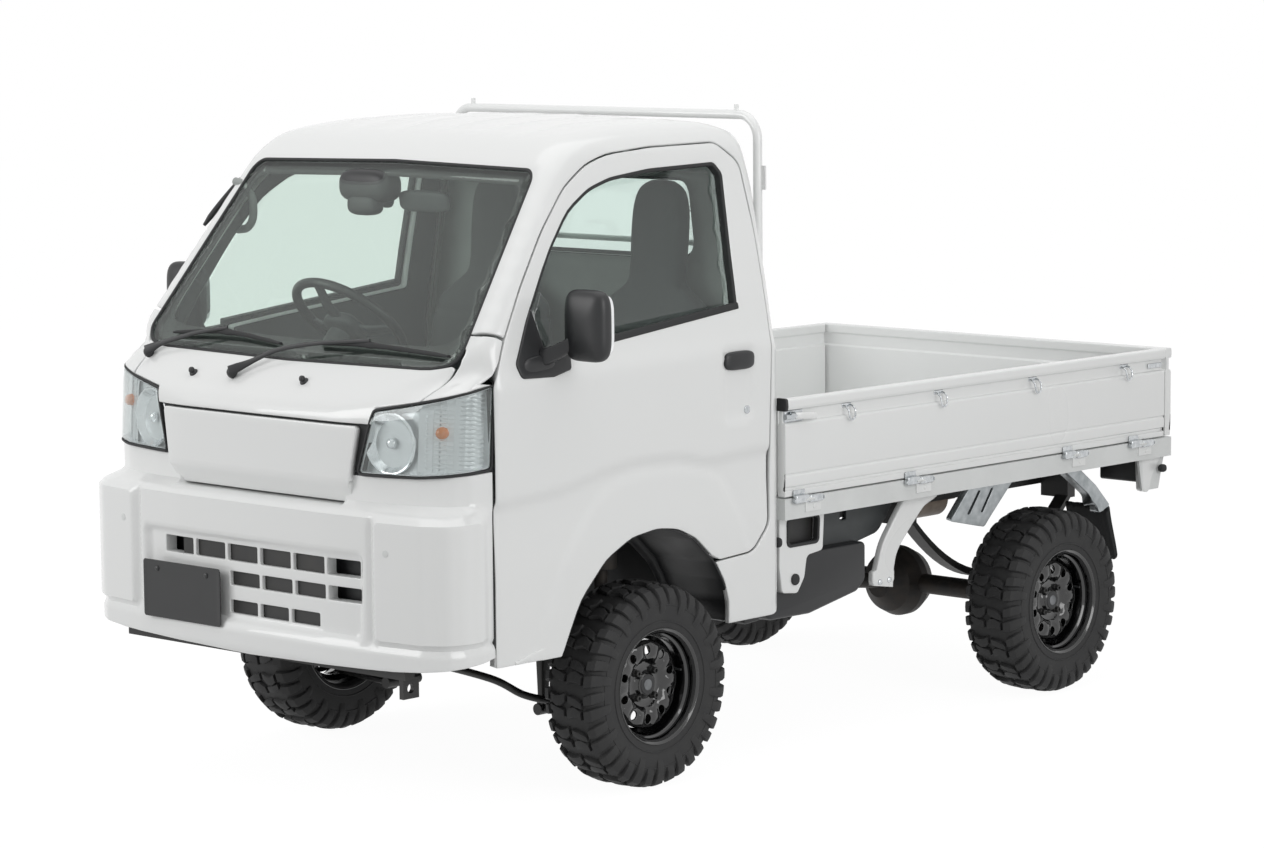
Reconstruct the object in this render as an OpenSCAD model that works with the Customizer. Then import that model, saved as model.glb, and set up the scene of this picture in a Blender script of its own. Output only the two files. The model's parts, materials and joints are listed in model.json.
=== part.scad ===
// Kei truck: a light cab-over truck with drop-side bed, raised on all-terrain tyres.
// +Z up, front faces -Y, +X is the vehicle's left side, origin on the ground under the middle.
// "from_front" is a distance behind the front face, "height" is above the ground.

/* [Overall] */
// Length from the bumper face to the tail gate hinges
length = 3395; // [3300:5:3500]
// Width over the doors
body_w = 1475; // [1440:5:1560]
// Height of the roof's crown
roof_h = 1897; // [1880:1:1960]
// Distance between the axles
wheelbase = 1900; // [1850:5:1960]
// Distance between the tyre centres
track = 1290; // [1270:5:1300]
// Front face to front axle
front_overhang = 896; // [880:1:910]

/* [Cab] */
// Front face to the outside of the cab's rear wall
cab_len = 1434; // [1420:1:1450]
// Thickness of roof, front and rear walls
wall_t = 28; // [20:1:34]
// Thickness of doors and pillars
door_t = 55; // [45:1:60]
// Gap around a door
door_gap = 6; // [5:0.5:8]
// Thickness of the glass
glass_t = 5; // [4:0.5:6]
// Height of the lower edge of cab and doors
sill_h = 429; // [420:1:440]
// Height of the seat deck's underside
deck_h = 765; // [755:1:775]
// Height of the footwell's underside
foot_h = 505; // [500:1:520]

/* [Bed] */
// Height of the bed's floor
bed_h = 780; // [760:1:800]
// Height of the gates' top rail above the ground
gate_top = 1060; // [1000:1:1100]
// Thickness of a gate's panel
gate_t = 32; // [24:1:38]
// Gap between cab and bed, and at the gates' ends
bed_gap = 5; // [5:0.5:8]
// Depth of the sill rail under the gates
sill_d = 62; // [50:1:70]
// Diameter of the guard frame's tube
guard_d = 27; // [22:1:34]

/* [Wheels] */
// Tyre outer diameter
tyre_d = 589; // [570:1:600]
// Tyre width
tyre_w = 200; // [180:1:204]
// Bead seat diameter of the rim
bead_d = 304; // [300:1:310]
// Rim width between the flanges' outer faces
rim_w = 184; // [170:1:186]
// Radius of the wheel spindles
spindle_r = 14; // [12:0.5:18]
// Radial running clearance of spindles and hinge pins
run_gap = 0.06; // [0.03:0.01:0.1]

/* [Hidden] */

white = [0.93, 0.94, 0.94];
black = [0.06, 0.06, 0.06];
far = 4000;
seat_gap = 0.3;
eps = 0.01;

front_y = -length / 2;
rear_y = length / 2;
half_w = body_w / 2;
axle_f = front_y + front_overhang;
axle_r = axle_f + wheelbase;
cab_back = front_y + cab_len;
hub_z = tyre_d / 2;
wheel_x = track / 2;

// ---- helpers -------------------------------------------------------------

// s = 1 draws the left side (+X), s = -1 the right side
module on_side(s) { mirror([s > 0 ? 0 : 1, 0, 0]) children(); }
module both_sides() { on_side(1) children(); on_side(-1) children(); }
// box from its low corner to its high corner
module block(a, b) { translate(a) cube(b - a); }
// an outline of [y, z] points carried along X from x0 to x1
module along_x(pts, x0, x1) {
    translate([x0, 0, 0]) rotate([90, 0, 90]) linear_extrude(x1 - x0) polygon(pts);
}
// an outline of [x, z] points carried along Y from y0 to y1
module along_y(pts, y0, y1) {
    translate([0, y1, 0]) rotate([90, 0, 0]) linear_extrude(y1 - y0) polygon(pts);
}
// an outline of [x, y] points carried up from z0 to z1
module along_z(pts, z0, z1) {
    translate([0, 0, z0]) linear_extrude(z1 - z0) polygon(pts);
}
// half outline [x, other] closed by its mirror image
function mirrored(pts) =
    concat(pts, [for (i = [len(pts) - 1:-1:0]) if (pts[i][0] > 0) [-pts[i][0], pts[i][1]]]);

// ---- cab shell -----------------------------------------------------------

belt_h = 1190;
roof_side_h = 1806;
brow_h = 1768;
screen_base = [205, 1258];
screen_top = [597, brow_h];
seam = 263;

// side outline of the cab: [from_front, height, inward y, inward z] per unit of wall thickness
cab_side_rows = [[42, sill_h, 1, -3], [46, 900, 1, 0], [58, 1136, 1, -1.2],
    [screen_base[0], screen_base[1], 0.9, -0.8], [screen_top[0], screen_top[1], 0.6, -1],
    [690, roof_h - 55, 0.4, -1], [850, roof_h - 19, 0.1, -1], [1100, roof_h, 0, -1],
    [cab_len - 114, roof_h - 13, -0.2, -1], [cab_len - 36, roof_h - 62, -0.9, -0.7],
    [cab_len - 6, roof_h - 197, -1, 0], [cab_len, 1450, -1, 0], [cab_len, sill_h, -1, -3]];
function cab_side_pts(t) = [for (r = cab_side_rows) [front_y + r[0] + t * r[2], r[1] + t * r[3]]];

// front outline of the cab's left half: [inward of the side, height, inward x, inward z]
cab_front_rows = [[0, sill_h, 1, -3], [0, belt_h, 1, 0], [9, 1215, 1, 0],
    [112, roof_side_h - 6, 1, 0], [140, roof_h - 47, 1, -0.5], [197, roof_h - 21, 1, -0.6],
    [half_w, roof_h, 0, -0.6]];
function cab_front_pts(t) =
    [for (r = cab_front_rows) [max(0, half_w - r[0] - t * r[2]), r[1] + t * r[3]]];

// plan outline of the cab's left half: [inward of the side, from_front, inward x, inward y]
cab_plan_rows = [[half_w, 42, 0, 0.5], [half_w - 300, 45, 0, 0.5], [half_w - 400, 54, 0.1, 0.5],
    [half_w - 450, 66, 0.3, 0.5], [0, seam, 1, 0.5], [0, cab_len, 1, 0]];
function cab_plan_pts(t) =
    [for (r = cab_plan_rows) [max(0, half_w - r[0] - t * r[2]), front_y + r[1] + t * r[3]]];

module cab_solid(wall, side) {
    intersection() {
        along_x(cab_side_pts(wall), -far, far);
        along_y(mirrored(cab_front_pts(side)), -far, far);
        along_z(mirrored(cab_plan_pts(side)), 0, far);
    }
}
module cab_shell() {
    difference() {
        cab_solid(0, 0);
        cab_solid(wall_t, door_t);
    }
}

// ---- openings in the cab -------------------------------------------------

// door edge: [from_front, height, outward y, outward z] per unit of gap
door_rows = [[258, sill_h, -1, -2], [262, 975, -1, 0], [seam, 1201, -1, 0.2],
    [320, 1317, -0.9, 0.5], [408, 1452, -0.8, 0.6], [519, 1598, -0.75, 0.65],
    [627, 1711, -0.7, 0.7], [724, 1769, -0.5, 0.9], [815, 1795, -0.2, 1],
    [997, roof_side_h, 0, 1], [cab_len - 166, roof_side_h, 0.3, 1], [cab_len - 80, 1755, 1, 0.5],
    [cab_len - 48, 1550, 1, 0], [cab_len - 41, 1297, 1, 0], [cab_len - 58, 836, 1, 0],
    [cab_len - 59, 702, 1, -0.4], [cab_len - 126, 632, 0.3, -1], [cab_len - 276, 623, 0, -1]];
function door_pts(gap) = [for (r = door_rows) [front_y + r[0] + gap * r[2], r[1] + gap * r[3]]];

// front wheel arch around the axle: [behind the axle, height]
arch_rows = [[-391, sill_h - 1], [-314, 579], [-210, 680], [-106, 729], [0, 742], [84, 732],
    [159, 698], [245, 623], [288, 560], [302, 500], [302, sill_h - 1]];
arch_pts = concat([for (r = arch_rows) [axle_f + r[0], r[1]]],
    [[axle_f + 302, sill_h - 100], [axle_f - 391, sill_h - 100]]);

// the door's outline closes along its arch, from the rear to the front
door_close = [for (i = [7:-1:0]) [axle_f + arch_rows[i][0], arch_rows[i][1]]];
function door_outline(gap) = concat(door_pts(gap), gap > 0
    ? [[axle_f + 245, 623 - gap], [axle_f + 245, 0], [axle_f - 391, 0]] : door_close);

// door window: [from_front, height]
door_window_rows = [[372, 1240], [410, 1345], [498, 1492], [543, 1554], [628, 1650], [724, 1705],
    [815, 1730], [977, 1747], [cab_len - 184, 1752], [cab_len - 152, 1721],
    [cab_len - 164, 1494], [cab_len - 170, 1338], [762, 1288]];
function window_pts() = [for (r = door_window_rows) [front_y + r[0], r[1]]];
// the side's slope above the belt, as a slab that starts "inward" of the outer face
function side_line(inward) =
    [for (i = [1:3]) [half_w - cab_front_rows[i][0] - inward, cab_front_rows[i][1]]];
function slab_pts(inward, thick) =
    concat(side_line(inward), [for (i = [2:-1:0]) side_line(inward + thick)[i]]);
// half width of the side's slope at a height above the belt
function side_x(z) = half_w - cab_front_rows[2][0] - (z - cab_front_rows[2][1])
    * (cab_front_rows[3][0] - cab_front_rows[2][0]) / (cab_front_rows[3][1] - cab_front_rows[2][1]);

screen_half_low = 645;
screen_half_top = 570;
screen_edge = 10;
function screen_pts(gap) = mirrored([
    [screen_half_low - gap, screen_base[1] + screen_edge + gap],
    [screen_half_top - gap, screen_top[1] - screen_edge - gap]]);

rear_win = [430, 1450, 1700];
function rear_win_pts(gap) = mirrored([[rear_win[0] - gap, rear_win[1] + gap],
    [rear_win[0] - 30 - gap, rear_win[2] - gap]]);

// headlamp in front view: [x, height], left side
lamp_rows = [[395, 956], [half_w + 1, 975], [half_w + 1, 1201], [447, 1133]];
lamp_depth = 60;
module lamp_prism(gap) {
    along_y([[lamp_rows[0][0] - gap, lamp_rows[0][1] - gap], [lamp_rows[1][0], lamp_rows[1][1] - gap],
        [lamp_rows[2][0], lamp_rows[2][1] + gap], [lamp_rows[3][0] - gap, lamp_rows[3][1] + gap]],
        front_y, front_y + seam + 40);
}

// ---- cab panels ----------------------------------------------------------

// the roof begins at the brow in front and above the doors behind it
roof_cut = concat([[front_y, brow_h]], [for (i = [7:10]) door_pts(door_gap)[i]],
    [[cab_back + 10, roof_side_h + door_gap], [cab_back + 10, roof_h + 10], [front_y, roof_h + 10]]);
panel_bottom = 900;
pillar_base = 1235;
rear_wall_half = 560;
rear_wall_low = 715;
front_end = seam - door_gap - 2;

module roof() {
    color(white) intersection() {
        cab_shell();
        along_x(roof_cut, -far, far);
    }
}
striker_h = [1000, 1040];
module cab_side(s) {
    // striker of the door's lock, on the rear pillar
    color(white) on_side(s) difference() {
        intersection() {
            cab_shell();
            block([half_w - 10, cab_back - 100, striker_h[0]],
                [half_w - 2, cab_back - 10, striker_h[1]]);
        }
        along_x(door_outline(seat_gap), 0, far);
    }
    color(white) on_side(s) difference() {
        intersection() {
            cab_shell();
            block([screen_half_top - 60, front_y, sill_h], [half_w, cab_back, roof_h]);
        }
        along_x(roof_cut, -far, far);
        along_x(door_outline(door_gap), 0, far);
        along_y(screen_pts(0), front_y, front_y + 640);
        block([0, front_y, 0], [far, front_y + seam - door_gap, pillar_base]);
        block([0, front_y + seam - 2 * door_gap, 0], [half_w - 20, front_y + seam + 300, pillar_base]);
        along_x(arch_pts, 0, far);
        block([0, cab_back - 200, 0], [rear_wall_half, cab_back + 1, roof_h]);
    }
}
module cab_rear_wall() {
    color(white) difference() {
        intersection() {
            cab_shell();
            block([-rear_wall_half, cab_back - 60, rear_wall_low], [rear_wall_half, cab_back, roof_h]);
        }
        along_x(roof_cut, -far, far);
        along_x(door_outline(door_gap), -far, far);
        along_y(rear_win_pts(0), cab_back - 200, cab_back + 1);
    }
}
module front_panel() {
    color(white) difference() {
        intersection() {
            cab_shell();
            block([-half_w, front_y, panel_bottom], [half_w, front_y + seam - door_gap, pillar_base + 40]);
        }
        along_y(screen_pts(0), front_y, front_y + 640);
        both_sides() lamp_prism(1);
        both_sides() block([screen_half_top - 60, front_y + 150, pillar_base], [half_w, cab_back, roof_h]);
        block([-half_w, front_y + front_end, 0], [half_w, cab_back, roof_h]);
    }
}
module windscreen() {
    sink = 4;
    slope = screen_top - screen_base;
    inward = [slope[1], -slope[0]] / norm(slope);
    line = [screen_base, screen_top];
    slab = [for (p = line) p + sink * inward, for (i = [1, 0]) line[i] + (sink + glass_t) * inward];
    color([0.2, 0.25, 0.24, 0.4]) intersection() {
        along_x([for (p = slab) [front_y + p[0], p[1]]], -far, far);
        along_y(screen_pts(seat_gap), -far, far);
        cab_solid(0, 12);
    }
}
module rear_window() {
    color([0.2, 0.25, 0.24, 0.4]) intersection() {
        along_x([for (i = [10, 11]) cab_side_pts(12)[i], for (i = [11, 10]) cab_side_pts(12 + glass_t)[i]],
            -far, far);
        along_y(rear_win_pts(seat_gap), -far, far);
    }
}
module headlamp(s) {
    color([0.9, 0.9, 0.92]) on_side(s) intersection() {
        difference() {
            cab_solid(0, 0);
            cab_solid(lamp_depth, lamp_depth);
        }
        lamp_prism(0);
        block([0, front_y, 0], [half_w, front_y + front_end, far]);
    }
}

// ---- bumper and front ----------------------------------------------------

// bumper in plan, left half: [inward of the side, from_front, inward x, inward y]
bumper_end = door_rows[0][0] - door_gap;
plate_t = 2;
bumper_rows = [[half_w, plate_t + seat_gap, 0, 1], [half_w - 300, plate_t + seat_gap, 0, 1],
    [half_w - 474, 16, 0.2, 1], [82, 42, 0.7, 1], [25, 75, 1, 0.6], [4, 125, 1, 0.2], [0, 195, 1, 0],
    [0, bumper_end, 1, 0]];
// the same at the bumper's upper edge, under the lamps
bumper_top_rows = [[half_w, 33, 0, 1], [half_w - 300, 36, 0, 1], [half_w - 395, 46, 0.1, 1],
    [half_w - 450, 58, 0.4, 1], [150, 153, 0.6, 0.8], [12, 240, 1, 0.5], [6, 246, 1, 0.3],
    [1, bumper_end, 1, 0]];
function bumper_pts(rows, t) =
    [for (r = rows) [max(0, half_w - r[0] - t * r[2]), front_y + r[1] + t * r[3]]];
function bumper_ring(rows, t) =
    mirrored(concat(bumper_pts(rows, t), [[bumper_pts(rows, t)[7][0], front_y + bumper_end + eps]]));
bumper_low = 423;
bumper_mid = 840;
bumper_high = 954;
bumper_t = 22;
module bumper_solid(t) {
    along_z(bumper_ring(bumper_rows, t), bumper_low - t, bumper_mid);
    hull() {
        along_z(bumper_ring(bumper_rows, t), bumper_mid - 1, bumper_mid);
        along_z(bumper_ring(bumper_top_rows, t), bumper_high - 1, bumper_high + t);
    }
}
// grille cells: [row bottom, row top, x of the right edge, x of the left edge, cells]
grille_rows = [[674, 725, -378, 439, 6], [606, 648, -97, 439, 4], [527, 567, -97, 282, 3]];
cell_gap = 12;
garnish_half = [360, 400];
garnish_z = [872, 1088];
module bumper() {
    color(white) difference() {
        bumper_solid(0);
        translate([0, eps, 0]) bumper_solid(bumper_t);
        for (g = grille_rows) {
            cell = (g[3] - g[2] + cell_gap) / g[4];
            for (i = [0:g[4] - 1])
                block([g[2] + i * cell, front_y - 1, g[0]],
                    [g[2] + (i + 1) * cell - cell_gap, front_y + 120, g[1]]);
        }
        block([-far, front_y - 1, garnish_z[0] - 12], [far, front_y + seam, far]);
    }
    // upper corners beside the garnish, under the lamps
    color(white) difference() {
        intersection() {
            bumper_solid(0);
            both_sides() block([garnish_half[1] + 4, front_y, garnish_z[0] - 12],
                [half_w, front_y + seam, far]);
        }
        bumper_solid(bumper_t);
        cab_solid(-1, -1);
    }
}
// how far behind the front face the front panel stands at a height
function nose(z) = cab_side_rows[1][0] + (z - cab_side_rows[1][1])
    * (cab_side_rows[2][0] - cab_side_rows[1][0]) / (cab_side_rows[2][1] - cab_side_rows[1][1]);
garnish_t = 14;
module front_garnish() {
    color(white) intersection() {
        along_y(mirrored([[garnish_half[0], garnish_z[0]], [garnish_half[1], garnish_z[1]]]), -far, 0);
        along_x([for (z = garnish_z) [front_y + nose(z) - garnish_t, z],
            for (z = [garnish_z[1], garnish_z[0]]) [front_y + nose(z) - seat_gap, z]], -half_w, half_w);
    }
}
plate = [330, plate_t, 165];
plate_at = [-270, 570];
module front_plate() {
    color(black) block([plate_at[0] - plate[0] / 2, front_y, plate_at[1] - plate[2] / 2],
        [plate_at[0] + plate[0] / 2, front_y + plate[1], plate_at[1] + plate[2] / 2]);
}
module radiator() {
    color([0.25, 0.25, 0.26]) block([-300, front_y + 40, rail_f[1] + seat_gap], [300, toe_y - 4, 840]);
}

// ---- chassis -------------------------------------------------------------

rail_w = 48;
rail_f = [410, 470];
rail_r = [bed_h - 180, bed_h - 80];
rail_xf = 297;
kick = [cab_back - 130, cab_back + 40];
stay_gap = 6.4;
module frame() {
    rear_end = rear_y - 60;
    side = [[front_y + 60, rail_f[0]], [kick[0], rail_f[0]], [kick[1], rail_r[0]], [rear_end, rail_r[0]],
        [rear_end, rail_r[1]], [kick[1], rail_r[1]], [kick[0], rail_f[1]], [front_y + 60, rail_f[1]]];
    color([0.12, 0.12, 0.13]) {
        both_sides() along_x(side, rail_xf, rail_xf + rail_w);
        block([-half_w + 160, front_y + 60, rail_f[0]], [half_w - 160, front_y + 95, rail_f[1]]);
        // stays that carry the bumper
        both_sides() block([rail_xf, front_y + bumper_t + stay_gap, rail_f[1] - 35],
            [rail_xf + rail_w, front_y + 61, rail_f[1]]);
        for (y = [cab_back + 80, cab_back + 620, axle_r + 330, rear_end - 40])
            block([-rail_xf, y, rail_r[0] + 20], [rail_xf, y + 40, rail_r[1] - 20]);
        block([-rail_xf, axle_f - 60, rail_f[0]], [rail_xf, axle_f + 20, rail_f[1]]);
        // towing eye under the left of the bumper
        difference() {
            block([hook_x - 8, front_y + 62, hook_z - 28], [hook_x + 8, front_y + 120, rail_f[0] + 4]);
            translate([hook_x, front_y + 90, hook_z]) rotate([0, 90, 0])
                cylinder(h = 40, r = hook_r, center = true, $fn = 32);
        }
    }
}
hook_x = 560;
hook_z = 385;
hook_r = 13;

engine_half = rail_xf - seat_gap;
engine_back = kick[0] - 4;
module engine() {
    color([0.45, 0.45, 0.46])
        block([-engine_half, axle_f + 90, rail_f[0] + 10], [engine_half, engine_back, deck_h - 20]);
}
well_x = 358;
pan_t = 12;
foot_back = front_y + 512;
well_back = cab_back - 130;
toe_y = front_y + 105;
toe_top = 935;
// free space between the doors' inner faces and what is inside
inside_gap = 46;
module cab_floor() {
    deck_back = cab_back - wall_t - seat_gap;
    front = toe_y;
    color([0.6, 0.61, 0.62]) intersection() {
      cab_solid(wall_t + seat_gap, door_t + inside_gap);
      union() {
        // toe board, footwell, riser and seat deck
        along_x([[front, toe_top], [front, foot_h], [foot_back, foot_h], [foot_back, deck_h],
            [deck_back, deck_h], [deck_back, deck_h + pan_t], [foot_back - pan_t, deck_h + pan_t],
            [foot_back - pan_t, foot_h + pan_t], [front + pan_t, foot_h + pan_t],
            [front + pan_t, toe_top]], -half_w, half_w);
        // inner walls of the wheel wells
        both_sides()
            block([well_x - pan_t, foot_back - pan_t, rail_f[1]], [well_x, deck_back, deck_h + eps]);
        // rear walls of the wheel wells
        both_sides() block([well_x - pan_t, well_back, foot_h], [half_w, well_back + pan_t, deck_h + eps]);
      }
    }
}
module front_suspension() {
    arm_z = low_ball[1] - ball_r - seat_gap;
    color([0.1, 0.1, 0.11]) {
        block([-rail_xf - rail_w, axle_f - 45, arm_z - 16], [rail_xf + rail_w, axle_f + 45, arm_z + 30]);
        both_sides() {
            block([rail_xf, axle_f - 30, arm_z + 20], [rail_xf + rail_w, axle_f + 30, rail_f[0]]);
            along_z([[rail_xf, axle_f - 70], [low_ball[0] + 14, axle_f - 16],
                [low_ball[0] + 14, axle_f + 16], [rail_xf, axle_f + 70]], arm_z - 14, arm_z);
        }
    }
}

// ---- steering and wheels -------------------------------------------------

// the steering axis runs from the lower ball to the strut's top, both as [x, height]
ball_r = 12;
top_r = 20;
low_ball = [600, 205];
// the strut stands clear of the tyre's inner side
strut_x = wheel_x - tyre_w / 2 - 33;
strut_top = [strut_x + 3, deck_h - seat_gap - top_r];
hub_face = wheel_x - 8;
spindle_end = wheel_x + 47;
module knuckle(s) {
    color([0.14, 0.14, 0.15]) on_side(s) translate([0, axle_f, 0]) {
        translate([low_ball[0] - 25, 0, hub_z]) rotate([0, 90, 0])
            cylinder(h = hub_face - low_ball[0] + 25, r = 52, $fn = 48);
        translate([low_ball[0] + 2, 0, hub_z]) rotate([0, 90, 0]) cylinder(h = 10, r = 90, $fn = 64);
        translate([hub_face - 1, 0, hub_z]) rotate([0, 90, 0])
            cylinder(h = spindle_end - hub_face + 1, r = spindle_r, $fn = 48);
        block([strut_x - 12, -24, hub_z + 6], [low_ball[0] - 20, 24, hub_z + 44]);
        translate([strut_x, 0, hub_z - 20]) cylinder(h = strut_top[1] - hub_z + 20, r = 19, $fn = 48);
        translate([strut_x, 0, tyre_d + 22]) cylinder(h = strut_top[1] - tyre_d - 26, r = 46, $fn = 48);
        translate([strut_top[0], 0, strut_top[1]]) sphere(r = top_r, $fn = 48);
        translate([low_ball[0], 0, low_ball[1]]) sphere(r = ball_r, $fn = 32);
        translate([low_ball[0], 0, low_ball[1]]) cylinder(h = hub_z - low_ball[1] - 30, r = 9, $fn = 32);
    }
}

// tyre section: [radius, from the tyre's middle], one side
bead_r = bead_d / 2;
flange_h = 15;
tyre_rows = [[bead_r + seat_gap, rim_w / 2 - 12.6], [bead_r + flange_h + 1, rim_w / 2 - 6.6],
    [bead_r + flange_h + 6, tyre_w / 2 - 8], [bead_r + 50, tyre_w / 2],
    [tyre_d / 2 - 46, tyre_w / 2], [tyre_d / 2 - 16, tyre_w / 2 - 10], [tyre_d / 2, tyre_w / 2 - 32]];
module tyre(s, y) {
    section = concat(tyre_rows, [for (i = [len(tyre_rows) - 1:-1:0]) [tyre_rows[i][0], -tyre_rows[i][1]]]);
    color(black) on_side(s) translate([wheel_x, y, hub_z]) rotate([0, 90, 0])
        rotate_extrude($fn = 96) polygon(section);
}
// rim section: [radius, from the middle], outer contour then inner contour
rim_t = 5;
well_r = bead_r - 18;
rim_h = rim_w / 2;
rim_pts = [[bead_r + flange_h, -rim_h], [bead_r + flange_h, -rim_h + 6], [bead_r, -rim_h + 12],
    [bead_r, -rim_h + 36], [well_r, -rim_h + 50], [well_r, 18], [bead_r, 32], [bead_r, rim_h - 12],
    [bead_r + flange_h, rim_h - 6], [bead_r + flange_h, rim_h], [bead_r + flange_h - 6, rim_h],
    [bead_r - rim_t, rim_h - 10], [bead_r - rim_t, 34], [well_r - rim_t, 20],
    [well_r - rim_t, -rim_h + 50], [bead_r - rim_t, -rim_h + 36], [bead_r - rim_t, -rim_h + 10],
    [bead_r + flange_h - 6, -rim_h]];
vents = 10;
vent_r = 11;
vent_ring = 99;
disc_x = 22;
module rim(s, y) {
    bore_end = spindle_end - wheel_x + 0.5;
    color([0.08, 0.08, 0.09]) on_side(s) translate([wheel_x, y, hub_z]) rotate([0, 90, 0]) difference() {
        union() {
            rotate_extrude($fn = 96) polygon(rim_pts);
            translate([0, 0, disc_x]) cylinder(h = 6, r = well_r - 1, $fn = 96);
            translate([0, 0, hub_face - wheel_x + seat_gap])
                cylinder(h = disc_x - hub_face + wheel_x + 14, r = 58, $fn = 64);
            translate([0, 0, disc_x]) cylinder(h = bore_end - disc_x + 8, r = 30, $fn = 64);
        }
        translate([0, 0, -rim_h]) cylinder(h = rim_h + bore_end, r = spindle_r + run_gap, $fn = 48);
        for (i = [0:vents - 1]) rotate([0, 0, (i + 0.5) * 360 / vents]) {
            for (q = [-5, 5]) translate([vent_ring, q, disc_x - 1]) cylinder(h = 8, r = vent_r, $fn = 32);
            translate([vent_ring - vent_r, -5, disc_x - 1]) cube([2 * vent_r, 10, 8]);
        }
    }
}

spring_x = 430;
shaft_tilt = 7;
// differential housing: [radius, along the truck]
diff_x = 60;
diff_pts = [[0, -105], [50, -100], [95, -60], [115, -15], [115, 15], [95, 60], [45, 105], [0, 105]];
module rear_axle() {
    color([0.12, 0.12, 0.13]) translate([0, axle_r, hub_z]) {
        rotate([0, 90, 0]) cylinder(h = 2 * (wheel_x - 70), r = 32, center = true, $fn = 48);
        translate([diff_x, 0, 0]) rotate([90, 0, 0]) rotate_extrude($fn = 64) polygon(diff_pts);
        both_sides() {
            translate([wheel_x - 71, 0, 0]) rotate([0, 90, 0])
                cylinder(h = hub_face - wheel_x + 71, r = 108, $fn = 64);
            translate([hub_face - 1, 0, 0]) rotate([0, 90, 0])
                cylinder(h = spindle_end - hub_face + 1, r = spindle_r, $fn = 48);
            block([spring_x - 30, -40, 0], [spring_x + 30, 40, spring_low - hub_z]);
        }
        // propeller shaft from the gearbox to the nose of the differential
        rotate([90 - shaft_tilt, 0, 0]) translate([diff_x, 0, 0])
            cylinder(h = (axle_r - engine_back - 5) / cos(shaft_tilt), r = 26, $fn = 32);
    }
}
spring_low = 348;
spring_half = 430;
spring_rise = rail_r[0] - spring_low - 22;
leaf_t = 24;
module leaf_springs() {
    n = 12;
    // a shallow arch that rises as the square of the distance from the axle
    arc = [for (i = [-n:n])
        [axle_r + spring_half * i / n, spring_low + seat_gap + spring_rise * pow(i / n, 2)]];
    pts = concat(arc, [for (i = [2 * n:-1:0]) arc[i] + [0, leaf_t]]);
    color([0.13, 0.13, 0.14]) both_sides() {
        along_x(pts, spring_x - 25, spring_x + 25);
        for (e = [-1, 1]) block([rail_xf + rail_w + seat_gap, axle_r + e * (spring_half - 14) - 20,
            rail_r[0] - 40], [spring_x + 25, axle_r + e * (spring_half - 14) + 20, rail_r[0] + 30]);
    }
}
exhaust_z = 505;
module exhaust() {
    color([0.35, 0.32, 0.3]) translate([-150, axle_r + 200, exhaust_z]) {
        rotate([-90, 0, 0]) cylinder(h = 250, r = 62, $fn = 48);
        rotate([-90, 0, 0]) translate([0, 0, 245]) cylinder(h = 110, r = 18, $fn = 32);
        block([-20, 100, 30], [20, 118, rail_r[1] - exhaust_z]);
    }
}
module fuel_tank() {
    y0 = cab_back + 2;
    color(black) along_x([[y0, 398], [y0 + 190, 398], [y0 + 400, 455], [y0 + 455, 530], [y0 + 420, 590],
        [y0, 590]], rail_xf + rail_w + seat_gap, half_w - 62);
}

// ---- bed -----------------------------------------------------------------

bed_y0 = cab_back + bed_gap;
hinge_r = 8;
tail_axis_y = rear_y - hinge_r;
tail_y1 = tail_axis_y - 12;
tail_y0 = tail_y1 - gate_t;
gate_x0 = half_w - gate_t;
gate_low = bed_h - 6;
side_axis_x = half_w + 12;
axis_z = gate_low - 12;
sill_top = gate_low - 6;
sill_low = sill_top - sill_d;
sill_w = 60;
pin_r = 4;
leaf_w = 34;
hinge_half = 62;
bed_end = tail_y0 - bed_gap;
// hinge places along a side gate, measured from the bed's front
side_hinges = [92, 608, 1396, 1754];
tail_hinges = [-560, 0, 560];

board_t = 26;
ledge = 10;

module hinge_pin(pin_l) { rotate([90, 0, 0]) cylinder(h = pin_l, r = pin_r, center = true, $fn = 32); }
// fixed half of a hinge, with its axis at the origin along Y and the sill at -X
module hinge_fixed() {
    hinge_pin(2 * hinge_half);
    rotate([90, 0, 0]) cylinder(h = 2 * leaf_w - 30, r = hinge_r, center = true, $fn = 32);
    block([-12 - eps, -leaf_w + 15, -hinge_r], [0, leaf_w - 15, hinge_r - 4]);
}
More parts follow.
